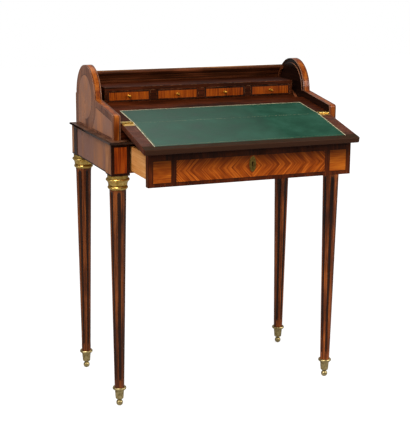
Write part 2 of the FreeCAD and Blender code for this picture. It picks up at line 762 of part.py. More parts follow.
# Nest of small drawers behind the writing board
nest_base_top_z = board_z(nest_front_y, 0)
nest_base_bottom_z = nest_base_top_z - nest_base_thickness
nest_roof_z = nest_base_top_z + nest_opening_height
nest_top_z = nest_roof_z + nest_shelf_thickness
nest_rear_y = arch_y + math.sqrt((lid_inner - nest_lid_gap) ** 2 - (nest_top_z - arch_z) ** 2)
nest_back_y = nest_rear_y - nest_back_thickness
nest_half_width = lid_end_inner_x - nest_side_gap
nest_inner_half = nest_half_width - nest_end_thickness
dividers_width = (small_drawer_count - 1) * divider_width
small_cell_width = (2 * nest_inner_half - dividers_width) / small_drawer_count
small_drawer_width = small_cell_width - 2 * small_gap
cell_pitch = small_cell_width + divider_width

pieces["nest_base"] = [box(-nest_half_width, nest_half_width, nest_front_y, nest_rear_y,
                           nest_base_bottom_z, nest_base_top_z)]
pieces["nest_shelf"] = [box(-nest_half_width, nest_half_width, nest_front_y, nest_rear_y,
                            nest_roof_z, nest_top_z)]
nest_end = box(nest_inner_half, nest_half_width, nest_front_y, nest_rear_y,
               nest_base_top_z, nest_roof_z)
uprights = [mirrored(nest_end)]
for i in range(1, small_drawer_count):
    x1 = -nest_inner_half + i * cell_pitch
    uprights.append(box(x1 - divider_width, x1, nest_front_y, nest_back_y, nest_base_top_z, nest_roof_z))
uprights.append(nest_end)
pieces["nest_uprights"] = uprights
pieces["nest_back"] = [box(-nest_inner_half, nest_inner_half, nest_back_y, nest_rear_y,
                           nest_base_top_z, nest_roof_z)]

bearer_half = dust_narrow_half - nest_bearer_inset
front_bearer_y = nest_front_y - nest_bearer_rabbet
front_bearer_rear_y = front_bearer_y + nest_bearer_thickness
front_bearer = prism_x((front_bearer_y, frieze_top_z), [
    [(front_bearer_rear_y, frieze_top_z)],
    [(front_bearer_rear_y, nest_base_bottom_z)],
    [(nest_front_y, nest_base_bottom_z)],
    [(nest_front_y, board_z(nest_front_y, board_thickness))],
    [(front_bearer_y, board_z(front_bearer_y, board_thickness))],
], -bearer_half, bearer_half)
rear_bearer_y = nest_front_y + nest_rear_bearer_run
rear_bearer = box(-bearer_half, bearer_half, rear_bearer_y, rear_bearer_y + nest_bearer_thickness,
                  frieze_top_z, nest_base_bottom_z)
pieces["nest_bearers"] = [front_bearer, rear_bearer]

# Small drawers, each with a front, a box and a knob
small_front_bottom_z = nest_base_top_z + small_gap
small_front_top_z = nest_roof_z - small_gap
small_front_rear_y = nest_front_y + small_front_thickness
small_box_rear_y = nest_back_y - small_box_end_gap
small_box_bottom_z = nest_base_top_z + rest_gap


def small_front(x0):
    """A small drawer's front, its left end at x0."""
    return box(x0, x0 + small_drawer_width, nest_front_y, small_front_rear_y,
               small_front_bottom_z, small_front_top_z)


def small_box(x0):
    """A small drawer's two sides, back and bottom."""
    left = x0 + small_gap
    right = x0 + small_drawer_width - small_gap
    top_z = nest_roof_z - small_box_headroom
    floor_z = small_box_bottom_z + small_bottom_lift
    floor_top_z = floor_z + small_bottom_thickness
    back_y = small_box_rear_y - small_wall
    return [
        box(left, left + small_wall, small_front_rear_y, small_box_rear_y, small_box_bottom_z, top_z),
        box(right - small_wall, right, small_front_rear_y, small_box_rear_y, small_box_bottom_z, top_z),
        box(left + small_wall, right - small_wall, back_y, small_box_rear_y, floor_top_z, top_z),
        box(left + small_wall, right - small_wall, small_front_rear_y, small_box_rear_y,
            floor_z, floor_top_z),
    ]


def small_knob(x0):
    """A small drawer's round knob, turned along Y."""
    neck_top = knob_base_height + knob_neck_length
    ball_centre = neck_top + math.sqrt(knob_ball_radius ** 2 - knob_neck_radius ** 2)
    knob = turned((0, 0), [
        [(knob_base_radius, 0)],
        [(knob_neck_radius, knob_base_height)],
        [(knob_neck_radius, neck_top)],
        [(knob_ball_radius, ball_centre), (0, ball_centre + knob_ball_radius)],
    ])
    knob.rotate(ORIGIN, X_AXIS, 90)
    middle_z = (small_front_bottom_z + small_front_top_z) / 2
    return moved(knob, x0 + small_drawer_width / 2, nest_front_y, middle_z)


for i in range(small_drawer_count):
    left_x = -nest_inner_half + i * cell_pitch + small_gap
    number = i + 1
    pieces[f"small_drawer_{number}_front"] = [small_front(left_x)]
    pieces[f"small_drawer_{number}_box"] = small_box(left_x)
    pieces[f"small_drawer_{number}_knob"] = [small_knob(left_x)]

# Main drawer, pulled out
open_rear_y = shut_front_rear_y - drawer_travel
open_end_y = back_panel_inner_y - drawer_end_gap - drawer_travel
keyhole_z = (drawer_front_top_z + drawer_front_bottom_z) / 2 + keyhole_lift


def keyhole(y0, y1):
    """The keyhole's shape through a thickness: a round hole over a slot."""
    hole = Part.makeCylinder(keyhole_radius, y1 - y0, V(0, y0, keyhole_z), Y_AXIS)
    slot_half = keyhole_slot_width / 2
    slot = box(-slot_half, slot_half, y0, y1, keyhole_z - keyhole_slot_length, keyhole_z)
    return fused(hole, slot)


drawer_front = box(-drawer_front_half, drawer_front_half, open_front_y, open_rear_y,
                   drawer_front_bottom_z, drawer_front_top_z)
pieces["drawer_front"] = [drawer_front.cut(keyhole(open_front_y - cut_overrun, open_rear_y + cut_overrun))]
drawer_side_right = box(drawer_side_inner_x, drawer_side_outer_x, open_rear_y, open_end_y,
                        drawer_side_bottom_z, drawer_side_top_z)
pieces["drawer_sides"] = [mirrored(drawer_side_right), drawer_side_right]
drawer_floor_z = drawer_side_bottom_z + drawer_bottom_lift
drawer_floor_top_z = drawer_floor_z + drawer_bottom_thickness
pieces["drawer_bottom"] = [box(-drawer_side_inner_x, drawer_side_inner_x, open_rear_y, open_end_y,
                               drawer_floor_z, drawer_floor_top_z)]
pieces["drawer_back"] = [box(-drawer_side_inner_x, drawer_side_inner_x, open_end_y - drawer_back_thickness,
                             open_end_y, drawer_floor_top_z, drawer_side_top_z - drawer_back_drop)]


def escutcheon():
    """The oval brass plate round the keyhole."""
    middle_z = (drawer_front_top_z + drawer_front_bottom_z) / 2
    half_width = escutcheon_width / 2
    half_height = escutcheon_height / 2
    oval = Part.Ellipse(V(0, 0, 0), half_height, half_width).toShape()
    plate = Part.Face(Part.Wire([oval])).extrude(V(0, 0, escutcheon_thickness))
    plate.rotate(ORIGIN, Z_AXIS, 90)
    plate.rotate(ORIGIN, X_AXIS, 90)
    plate.translate(V(0, open_front_y, middle_z))
    return plate.cut(keyhole(open_front_y - cut_overrun, open_front_y + cut_overrun))


pieces["escutcheon"] = [escutcheon()]

# Lock on the inside of the drawer front
bolt_front_y = open_rear_y + bolt_inset
bolt_half = bolt_width / 2
bolt_bottom_z = bolt_top_z - bolt_length
channel_half = bolt_half + rest_gap
lock_top_z = drawer_side_top_z - lock_top_gap
lock_case = box(-lock_width / 2, lock_width / 2, open_rear_y, open_rear_y + lock_depth,
                drawer_floor_top_z + lock_floor_gap, lock_top_z)
channel = box(-channel_half, channel_half, bolt_front_y - rest_gap, bolt_front_y + bolt_thickness + rest_gap,
              bolt_bottom_z - rest_gap, lock_top_z + cut_overrun)
key_room = keyhole(open_rear_y - cut_overrun, open_rear_y + lock_depth - bolt_thickness)
pieces["lock_case"] = [lock_case.cut([channel, key_room])]
pieces["lock_bolt"] = [box(-bolt_half, bolt_half, bolt_front_y, bolt_front_y + bolt_thickness,
                           bolt_bottom_z, bolt_top_z)]


def fork_right():
    """The slotted plate on the right drawer side that pushes and pulls the crank pin."""
    stem_bottom_z = runner_top_z + guide_height + fork_thickness
    heel_z = fork_base_bottom_z + fork_heel_height
    return prism_x((fork_stem_front_y, stem_bottom_z), [
        [(fork_stem_rear_y, stem_bottom_z)],
        [(fork_stem_rear_y, fork_base_bottom_z)],
        [(crank_rest_y + fork_outer_half, fork_base_bottom_z)],
        [(crank_rest_y + fork_outer_half, fork_tip_z)],
        [(crank_rest_y + fork_half, fork_tip_z)],
        [(crank_rest_y + fork_half, fork_slot_bottom_z)],
        [(crank_rest_y - fork_half, fork_slot_bottom_z)],
        [(crank_rest_y - fork_half, fork_tip_z)],
        [(fork_front_y, fork_tip_z)],
        [(fork_front_y, heel_z)],
        [(fork_stem_front_y, fork_base_bottom_z)],
    ], drawer_side_outer_x, fork_outer_x)


pieces["lid_forks"] = [mirrored(fork_right()), fork_right()]

# Put the origin on the floor under the middle of the whole desk, and write every piece
lows = []
highs = []
for solids in pieces.values():
    for solid in solids:
        bounds = solid.optimalBoundingBox(False, False)
        lows.append(bounds.YMin)
        highs.append(bounds.YMax)
origin_y = (min(lows) + max(highs)) / 2

os.makedirs("parts", exist_ok=True)
for name, solids in pieces.items():
    placed = [moved(solid, 0, -origin_y, 0) for solid in solids]
    shape = placed[0] if len(placed) == 1 else Part.makeCompound(placed)
    shape.exportStep(f"parts/{name}.step")

print(f"{len(pieces)} pieces, origin moved by {-origin_y:.3f} mm, flap slope {flap_slope_deg:.3f} degrees")
print(f"Moves: drawer {drawer_travel} mm, lid {lid_turn_deg} degrees, flap {flap_fold_deg:.3f} degrees, "
      f"bolt {bolt_throw} mm, small drawers {small_drawer_travel} mm")
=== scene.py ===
"""The looks of a small writing desk with a cylinder lid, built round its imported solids."""
import json
import logging
import math
from dataclasses import dataclass
from enum import Enum
from typing import Iterable, Optional, Sequence, Union

import bmesh
import bpy
from mathutils import Matrix, Vector

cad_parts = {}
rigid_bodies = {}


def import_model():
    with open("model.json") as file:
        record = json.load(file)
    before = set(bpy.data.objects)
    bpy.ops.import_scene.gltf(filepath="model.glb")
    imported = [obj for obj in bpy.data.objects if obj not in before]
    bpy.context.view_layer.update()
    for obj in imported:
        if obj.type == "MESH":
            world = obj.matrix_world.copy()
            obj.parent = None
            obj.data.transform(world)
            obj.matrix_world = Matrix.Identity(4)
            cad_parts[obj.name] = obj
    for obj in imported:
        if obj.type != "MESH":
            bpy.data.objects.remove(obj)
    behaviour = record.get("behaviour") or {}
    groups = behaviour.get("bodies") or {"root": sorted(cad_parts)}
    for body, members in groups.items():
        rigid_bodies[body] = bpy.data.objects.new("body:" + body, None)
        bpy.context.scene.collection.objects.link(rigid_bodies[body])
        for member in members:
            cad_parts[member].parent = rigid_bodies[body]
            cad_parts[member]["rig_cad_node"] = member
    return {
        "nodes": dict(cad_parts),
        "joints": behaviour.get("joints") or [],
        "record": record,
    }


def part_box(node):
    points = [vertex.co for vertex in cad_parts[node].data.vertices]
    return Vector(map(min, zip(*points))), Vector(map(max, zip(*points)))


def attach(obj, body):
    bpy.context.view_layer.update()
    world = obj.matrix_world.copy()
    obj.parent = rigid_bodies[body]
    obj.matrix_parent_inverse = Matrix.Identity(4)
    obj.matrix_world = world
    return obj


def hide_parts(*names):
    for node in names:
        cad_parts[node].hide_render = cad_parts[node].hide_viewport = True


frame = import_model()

logging.basicConfig(level=logging.INFO, format="%(message)s")
log = logging.getLogger("desk")

MM = 0.001
CORNERS = ("front_left", "front_right", "rear_left", "rear_right")
WHITE = (1, 1, 1, 1)

# The curve by which a screen's numbers stand for light.
SCREEN_FULL = 255
SCREEN_STRAIGHT = 0.04045
SCREEN_SLOPE = 12.92
SCREEN_LIFT = 0.055
SCREEN_POWER = 2.4

# Points nearer than this are one point, and faces that bend by less are one face.
DOUBLES = 0.004 * MM
FLAT_BEND = math.radians(0.4)

# The square of an edge's length counts as no less than this, so that nothing is divided by nought.
SHORTEST_SQUARE = 1e-9

# A wire is a socket or a plain value for one. A dress is a node, its finish and its arris in millimetres.
Socket = bpy.types.NodeSocket
Wire = Union[Socket, float, int, bool, Sequence[float], Vector]
Triple = tuple[float, float, float]
Dress = tuple[str, str, float]


class Axis(Enum):
    """A direction of the desk: across its width, through its depth, or up."""

    ACROSS = 0
    THROUGH = 1
    UP = 2


class Side(Enum):
    """Left or right half of the desk, with the sign of its x."""

    LEFT = -1
    RIGHT = 1


def colour(code: str) -> tuple[float, float, float, float]:
    """A colour written as it looks on a screen, turned into the light it stands for.

    Args:
        code: six hexadecimal digits.

    Returns:
        Red, green, blue and full alpha, linear.
    """
    light = []
    for i in (0, 2, 4):
        part = int(code[i:i + 2], 16) / SCREEN_FULL
        if part <= SCREEN_STRAIGHT:
            light.append(part / SCREEN_SLOPE)
        else:
            light.append(((part + SCREEN_LIFT) / (1 + SCREEN_LIFT)) ** SCREEN_POWER)
    return (light[0], light[1], light[2], 1.0)


def stand(name: str, data: Union[bpy.types.Mesh, bpy.types.Light, bpy.types.Camera]) -> bpy.types.Object:
    """Puts a new object into the scene.

    Args:
        name: the object's name.
        data: its mesh, light or camera.

    Returns:
        The object.
    """
    thing = bpy.data.objects.new(name, data)
    bpy.context.scene.collection.objects.link(thing)
    return thing


class Tree:
    """Puts nodes into one node tree and wires them."""

    def __init__(self, tree: bpy.types.NodeTree) -> None:
        """Empties the tree and keeps it.

        Args:
            tree: the tree to fill.
        """
        self.tree = tree
        tree.nodes.clear()

    def put(self, kind: str, *wires: tuple[Union[int, str], Wire], **settings: object) -> bpy.types.Node:
        """Adds one node.

        Args:
            kind: the node's type.
            wires: pairs of an input's name or number and its value or the socket that feeds it.
            settings: the node's own settings.

        Returns:
            The node.
        """
        node = self.tree.nodes.new(kind)
        for name, value in settings.items():
            setattr(node, name, value)
        for key, value in wires:
            if isinstance(value, bpy.types.NodeSocket):
                self.tree.links.new(value, node.inputs[key])
            else:
                node.inputs[key].default_value = value
        return node

    def sum(self, operation: str, *values: Wire) -> Socket:
        """One step of arithmetic.

        Args:
            operation: the Math node's operation.
            values: its one, two or three numbers or sockets.

        Returns:
            The result's socket.
        """
        return self.put("ShaderNodeMath", *enumerate(values), operation=operation).outputs[0]

    def largest(self, first: Wire, *others: Wire) -> Wire:
        """The largest of several numbers.

        Args:
            first: one of them.
            others: the rest.

        Returns:
            The result's socket.
        """
        for other in others:
            first = self.sum("MAXIMUM", first, other)
        return first

    def split(self, vector: Socket) -> tuple[Socket, Socket, Socket]:
        """The three parts of a vector."""
        parts = self.put("ShaderNodeSeparateXYZ", (0, vector)).outputs
        return parts[0], parts[1], parts[2]

    def join(self, x: Wire = 0.0, y: Wire = 0.0, z: Wire = 0.0) -> Socket:
        """A vector of three parts."""
        return self.put("ShaderNodeCombineXYZ", (0, x), (1, y), (2, z)).outputs[0]

    def choose(self, amount: Wire, first: Wire, second: Wire) -> Socket:
        """Two numbers mixed: nought gives the first, one the second."""
        return self.put("ShaderNodeMix", (0, amount), (2, first), (3, second), data_type="FLOAT").outputs[0]

    def spread(self, value: Wire, low: Wire, high: Wire, first: Wire = 0.0, last: Wire = 1.0,
               curve: str = "LINEAR") -> Socket:
        """A value carried from one range to another, held at its ends.

        Args:
            value: the value.
            low: the low end of its own range.
            high: the high end of its own range.
            first: what the low end becomes.
            last: what the high end becomes.
            curve: the Map Range node's interpolation.

        Returns:
            The result's socket.
        """
        return self.put("ShaderNodeMapRange", (0, value), (1, low), (2, high), (3, first), (4, last),
                        interpolation_type=curve).outputs[0]


class Paint(Tree):
    """A surface's node tree, with the steps that the finishes share."""

    def __init__(self, name: str) -> None:
        """Makes the material.

        Args:
            name: the material's name.
        """
        self.material = bpy.data.materials.new(name)
        self.material.use_nodes = True
        super().__init__(self.material.node_tree)
        source = self.put("ShaderNodeTexCoord")
        self.place = source.outputs["Object"]
        self.normal = source.outputs["Normal"]

    def marked(self, name: str) -> Socket:
        """The number that the mesh keeps under a name, nought where it keeps none."""
        return self.put("ShaderNodeAttribute", attribute_name=name).outputs["Fac"]

    def below(self, value: Wire, edge: float, soft: float = 0.15 * MM) -> Socket:
        """One where a value is under an edge, nought above it, with a soft change.

        Args:
            value: the number to test.
            edge: where the change is.
            soft: half the width of the change.

        Returns:
            The mask.
        """
        return self.spread(value, edge - soft, edge + soft, 1.0, 0.0, "SMOOTHSTEP")

    def beyond(self, value: Wire, middle: float, reach: float = 0.0) -> Socket:
        """How far a value is from a middle one, less a reach.

        Args:
            value: the value.
            middle: what it is measured from.
            reach: how much of the distance doesn't count.

        Returns:
            The distance, under nought within the reach.
        """
        away = self.sum("ABSOLUTE", self.sum("SUBTRACT", value, middle))
        return self.sum("SUBTRACT", away, reach) if reach else away

    def mix(self, amount: Wire, first: Wire, second: Wire) -> Socket:
        """Two colours mixed: nought gives the first, one the second."""
        return self.put("ShaderNodeMix", (0, amount), (6, first), (7, second), data_type="RGBA").outputs[2]

    def lay(self, place: Socket, scale: Sequence[float], shift: Sequence[float] = (0, 0, 0)) -> Socket:
        """A pattern's own coordinates: the surface's, moved and scaled."""
        return self.put("ShaderNodeMapping", (0, place), (1, shift), (3, scale)).outputs[0]

    def noise(self, vector: Socket, scale: float, detail: float = 2.0, rough: float = 0.5,
              wander: float = 0.0) -> Socket:
        """A cloudy pattern between nought and one.

        Args:
            vector: where it is read.
            scale: how many clouds go into a unit.
            detail: how many finer layers are added.
            rough: how strong those layers are.
            wander: how much it is pulled about.

        Returns:
            The pattern's socket.
        """
        return self.put("ShaderNodeTexNoise", ("Vector", vector), ("Scale", scale), ("Detail", detail),
                        ("Roughness", rough), ("Distortion", wander)).outputs[0]

    def blots(self, size: float, detail: float = 3.0, rough: float = 0.5) -> Socket:
        """A cloudy pattern on the surface itself.

        Args:
            size: how large its clouds are, in millimetres.
            detail: how many finer layers are added.
            rough: how strong those layers are.

        Returns:
            The pattern's socket.
        """
        return self.noise(self.place, 1 / (size * MM), detail, rough)

    def ramp(self, value: Wire, places: Sequence[float], codes: Sequence[str]) -> Socket:
        """A colour read from a run of colours.

        Args:
            value: where it is read.
            places: where the colours stand on the run, in order.
            codes: the colours, six hexadecimal digits each.

        Returns:
            The colour's socket.
        """
        node = self.put("ShaderNodeValToRGB", (0, value))
        elements = node.color_ramp.elements
        while len(elements) < len(places):
            elements.new(1.0)
        for element, place, code in zip(elements, places, codes):
            element.position = place
            element.color = colour(code)
        return node.outputs[0]

    def facing(self, axis: Axis, sign: int = 0) -> Socket:
        """One where the surface looks along an axis.

        Args:
            axis: the axis.
            sign: one or minus one for one side only, nought for both.

        Returns:
            The mask.
        """
        part = self.split(self.normal)[axis.value]
        part = self.sum("MULTIPLY", part, sign) if sign else self.sum("ABSOLUTE", part)
        return self.sum("GREATER_THAN", part, math.sqrt(0.5))

    def averted(self, axis: Axis, sign: int) -> Socket:
        """Nought where the surface looks to one side along an axis, one elsewhere."""
        return self.sum("SUBTRACT", 1.0, self.facing(axis, sign))

    def finish(self, tint: Wire, rough: Wire, height: Socket, depth: float,
               **sockets: Wire) -> bpy.types.Material:
        """Ends the tree in its shader.

        Args:
            tint: the base colour.
            rough: the roughness.
            height: a relief between nought and one.
            depth: how deep that relief is, in millimetres.
            sockets: the shader's other inputs by their names, with spaces as low lines.

        Returns:
            The material.
        """
        bump = self.put("ShaderNodeBump", ("Height", height), ("Distance", depth * MM), ("Strength", 1.0))
        others = [(name.replace("_", " "), value) for name, value in sockets.items()]
        shader = self.put("ShaderNodeBsdfPrincipled", ("Base Color", tint), ("Roughness", rough),
                          ("Normal", bump.outputs[0]), *others)
        self.put("ShaderNodeOutputMaterial", (0, shader.outputs[0]))
        return self.material


@dataclass(frozen=True)
class Wood:
    """One wood as it is cut: its colours from light to deep, and how coarse its grain is, in millimetres.

    The last fields say how much finer the pores are than the streaks, how short they and the clouds are,
    how far a seed moves the pattern each way, and where on the patterns the colours and the pores stand.
    The three patterns each have their finer layers, how strong those are, and how far they wander.
    """

    light: str
    middle: str
    deep: str
    streak: float = 2.2
    run: float = 130.0
    cloud: float = 60.0
    clouding: float = 0.35
    pores: float = 0.5
    pore_fineness: float = 5.0
    pore_shortness: float = 3.0
    cloud_shortness: float = 0.35
    shift: Triple = (1.0, 0.7, 1.3)
    stops: Triple = (0.32, 0.5, 0.68)
    pore_stops: tuple[float, float] = (0.3, 0.42)
    streak_pattern: Triple = (3.0, 0.6, 0.3)
    cloud_pattern: Triple = (2.0, 0.5, 0.8)
    pore_pattern: Triple = (1.0, 0.5, 0.0)

    def grain(self, paint: Paint, place: Socket, along: Axis, seed: float) -> tuple[Socket, Socket]:
        """Draws the grain.

        Args:
            paint: the tree it goes in.
            place: the coordinates, in metres.
            along: the way the grain runs.
            seed: moves the pattern, so that two pieces differ.

        Returns:
            The colour and the relief of the pores.
        """
        streak, run, cloud = self.streak * MM, self.run * MM, self.cloud * MM
        patterns = []
        for across, lengthwise, pattern in (
                (1 / streak, 1 / run, self.streak_pattern),
                (1 / cloud, self.cloud_shortness / cloud, self.cloud_pattern),
                (self.pore_fineness / streak, self.pore_shortness / run, self.pore_pattern)):
            scale = [across] * 3
            scale[along.value] = lengthwise
            laid = paint.lay(place, scale, [seed * share for share in self.shift])
            patterns.append(paint.noise(laid, 1.0, *pattern))
        bands, clouds, hairs = patterns
        level = paint.sum("MULTIPLY_ADD", paint.sum("SUBTRACT", clouds, 0.5), self.clouding * 2.0, bands)
        tint = paint.ramp(level, self.stops, (self.deep, self.middle, self.light))
        pore = paint.spread(hairs, *self.pore_stops, 1.0, 0.0)
        tint = paint.mix(paint.sum("MULTIPLY", pore, self.pores), tint, colour(self.deep))
        return tint, paint.sum("SUBTRACT", 1.0, pore)


ROSEWOOD = Wood("40190A", "260E04", "120602", streak=1.8, run=90, cloud=45)
MAHOGANY = Wood("8E4A1C", "5C2A0C", "301504", streak=2.0, run=260, cloud=70)
DARK_MAHOGANY = Wood("54220B", "341203", "180702", streak=2.4, run=160, cloud=70)
TULIPWOOD = Wood("BB6419", "9A460C", "763007", streak=1.6, run=90, cloud=30, clouding=0.35, pores=0.25)
RED_TULIPWOOD = Wood("BE5C18", "9C400A", "702606", streak=2.0, run=60, cloud=30, clouding=0.5, pores=0.25)
SIDE_VENEER = Wood("9E6642", "8E6046", "80584A", streak=4.0, run=40, cloud=70, clouding=0.6, pores=0.05)
CHEEK_VENEER = Wood("B0714A", "A06A4A", "90634F", streak=4.0, run=40, cloud=70, clouding=0.6, pores=0.05)
SIDE_STRIP = Wood("A87048", "986038", "82502E", streak=2.6, run=40, cloud=44, clouding=0.8, pores=0.08)
BLOND_OAK = Wood("E8A868", "D48A44", "B06A2A", streak=1.6, run=120, cloud=60, clouding=0.4, pores=0.25)
BOARD_WOOD = Wood("5E2A12", "481D0B", "301205", streak=1.6, run=26, cloud=30, clouding=0.4)
MOULDING_WOOD = Wood("744A32", "50301E", "2A160D", streak=2.0, run=60, cloud=40)
OLD_OAK = Wood("94653A", "6F4726", "3F2714", streak=2.0, run=150, cloud=90)
SIDE_BAND = Wood("8A5A40", "764832", "5A3322", streak=2.2, run=50, cloud=50, clouding=0.6, pores=0.2)
CHEVRON_WOOD = Wood("C5641B", "94400A", "602405", streak=3.2, run=110, cloud=30, clouding=0.2, pores=0.2)
DRAWER_BAND = Wood("6A2C0A", "421806", "1E0A02", streak=1.8, run=90, cloud=45)
EDGE_WOOD = Wood("A65C20", "88400E", "622608", streak=2.0, run=60, cloud=30, clouding=0.5, pores=0.25)
# The legs' mahogany lightened for the right legs, which the lamps leave darker: painted light.
PAINTED_LIGHT_MAHOGANY = Wood("B86227", "793913", "3D1C06", streak=2.0, run=260, cloud=70)
SMALL_SHEET = Wood("A4500C", "883A06", "5A1E02", streak=1.7, run=60, cloud=40, clouding=0.15, pores=0.2)
LID_WOOD = Wood("8A4A2A", "623018", "34190B", streak=2.0, run=200, cloud=60)
# Near-black wood laid on the cheeks' inner faces: painted shade.
SHADE_WOOD = Wood("2E160C", "1C0C06", "0C0503", streak=2.0, run=160, cloud=60)


class Polished:
    """What solid wood and veneer share: arrises that are rubbed light, and wax that lies unevenly."""

    rough: float
    worn: str
    wear: float
    haze_size: float
    smoother: float
    rougher: float = 0.1
    rubbed_size: float = 9.0
    rubbed_rough: float = 0.6
    rubbed_from: float = 0.45
    rubbed_to: float = 0.62
    haze_from: float = 0.3
    haze_to: float = 0.7

    def rub(self, paint: Paint, tint: Socket) -> Socket:
        """Lightens the arrises where hands and cloths have rubbed them.

        Args:
            paint: the tree.
            tint: the wood's colour.

        Returns:
            The colour with the wear.
        """
        blots = paint.blots(self.rubbed_size, rough=self.rubbed_rough)
        patches = paint.spread(blots, self.rubbed_from, self.rubbed_to, 0.0, self.wear)
        return paint.mix(paint.sum("MULTIPLY", paint.marked("arris"), patches), tint, colour(self.worn))

    def wax(self, paint: Paint) -> Socket:
        """The roughness of old wax, smoother in some places and rougher in others."""
        return paint.spread(paint.blots(self.haze_size), self.haze_from, self.haze_to,
                            self.rough - self.smoother, self.rough + self.rougher)


@dataclass(frozen=True)
class Timber(Polished):
    """Solid polished or plain wood; lengths in millimetres.

    Where the strip's end is set, the top is darker and less glossy in front of that y: partly worn polish,
    partly painted shade.
    """

    name: str
    wood: Wood
    along: Axis = Axis.ACROSS
    seed: float = 0.0
    rough: float = 0.34
    gloss: float = 0.18
    worn: str = "9A6A45"
    wear: float = 0.55
    dirt: str = "180903"
    dirt_from: float = 0.05
    dirt_to: float = 0.8
    dirt_share: float = 0.9
    front: str = ""
    scuff: float = 0.0
    scuff_size: float = 2.6
    scuff_rough: float = 0.7
    scuff_from: float = 0.52
    scuff_to: float = 0.66
    dull_end: float = 0.0
    dull_soft: float = 4.0
    dull: str = "2B1E11"
    dull_share: float = 0.9
    dull_gloss: float = 0.02
    haze_size: float = 35.0
    smoother: float = 0.08
    pore_depth: float = 0.05

    def paint(self) -> bpy.types.Material:
        """Makes the material: grain, pores, darker hollows, wax and rubbed edges, and where set a top painted
        darker at the front as painted shade.

        Returns:
            The material.
        """
        paint = Paint(self.name)
        tint, pores = self.wood.grain(paint, paint.place, self.along, self.seed)
        # Darker where the mesh marks a hollow, as in the legs' flutes.
        dirt = paint.spread(paint.marked("hollow"), self.dirt_from, self.dirt_to, 0.0, self.dirt_share)
        tint = paint.mix(dirt, tint, colour(self.dirt))
        if self.scuff:
            specks = paint.blots(self.scuff_size, rough=self.scuff_rough)
            scuffs = paint.spread(specks, self.scuff_from, self.scuff_to, 0.0, self.scuff)
            tint = paint.mix(scuffs, tint, colour(self.worn))
        gloss: Wire = self.gloss
        # Painted shade: in front of the given y the top is darkened and less glossy, partly for worn polish.
        if self.dull_end:
            _, y, _ = paint.split(paint.place)
            ahead = paint.below(y, self.dull_end * MM, self.dull_soft * MM)
            dull = paint.sum("MULTIPLY", ahead, paint.facing(Axis.UP, 1))
            tint = paint.mix(paint.sum("MULTIPLY", dull, self.dull_share), tint, colour(self.dull))
            gloss = paint.choose(dull, self.gloss, self.dull_gloss)
        if self.front:
            tint = paint.mix(paint.facing(Axis.THROUGH, -1), tint, colour(self.front))
        tint = self.rub(paint, tint)
        return paint.finish(tint, self.wax(paint), pores, self.pore_depth, Specular_IOR_Level=gloss)


@dataclass(frozen=True)
class Region:
    """A sheet of veneer let into a band: how far outside its outline a point is, its wood and its grain."""

    distance: Socket
    wood: Wood
    along: Axis
    seed: float = 0.0
    place: Optional[Socket] = None


@dataclass(frozen=True)
class Veneer(Polished):
    """Sheets of veneer in bands of a darker wood, with a dark line between; lengths in millimetres.

    The kinds below keep the piece's low and high corners too, in metres as the frame gives them.
    """

    name: str
    band: Wood
    band_seed: float = 3.1
    line: str = "160A07"
    line_width: float = 1.2
    along: Axis = Axis.UP
    rough: float = 0.32
    gloss: float = 0.1
    worn: str = "8A5A3A"
    wear: float = 0.35
    coat: float = 0.0
    coat_rough: float = 0.12
    haze_size: float = 40.0
    smoother: float = 0.07
    pore_depth: float = 0.04

    def regions(self, paint: Paint) -> list[Region]:
        """The sheets that are let in; each kind of piece has its own."""
        return []

    def aged(self, paint: Paint, tint: Socket) -> Socket:
        """Shade painted over the sheets; by default none."""
        return tint

    def paint(self) -> bpy.types.Material:
        """Makes the material: the band, then each sheet with its line, then painted shade and wear.

        Returns:
            The material.
        """
        paint = Paint(self.name)
        tint, pores = self.band.grain(paint, paint.place, self.along, self.band_seed)
        for region in self.regions(paint):
            place = region.place or paint.place
            sheet, sheet_pores = region.wood.grain(paint, place, region.along, region.seed)
            tint = paint.mix(paint.below(region.distance, self.line_width * MM), tint, colour(self.line))
            inside = paint.below(region.distance, 0.0)
            tint = paint.mix(inside, tint, sheet)
            pores = paint.choose(inside, pores, sheet_pores)
        tint = self.rub(paint, self.aged(paint, tint))
        return paint.finish(tint, self.wax(paint), pores, self.pore_depth, Specular_IOR_Level=self.gloss,
                            Coat_Weight=self.coat, Coat_Roughness=self.coat_rough)


@dataclass(frozen=True)
class PanelVeneer(Veneer):
    """One upright rectangular sheet on the outer faces of a box-shaped piece."""

    low: Triple = (0, 0, 0)
    high: Triple = (0, 0, 0)
    inset_x: float = 8.0
    inset_y: float = 8.0
    inset_z: float = 8.0
    sheet: Wood = TULIPWOOD
    sheet_along: Axis = Axis.UP
    seed: float = 0.0

    def regions(self, paint: Paint) -> list[Region]:
        """The sheet, as wide and high as each face less its borders.

        Args:
            paint: the tree.

        Returns:
            The one sheet.
        """
        over = []
        for value, low, high, inset in zip(paint.split(paint.place), self.low, self.high,
                                           (self.inset_x, self.inset_y, self.inset_z)):
            over.append(paint.beyond(value, (low + high) / 2, (high - low) / 2 - inset * MM))
        wide = paint.choose(paint.facing(Axis.ACROSS), over[0], over[1])
        return [Region(paint.largest(wide, over[2]), self.sheet, self.sheet_along, self.seed)]


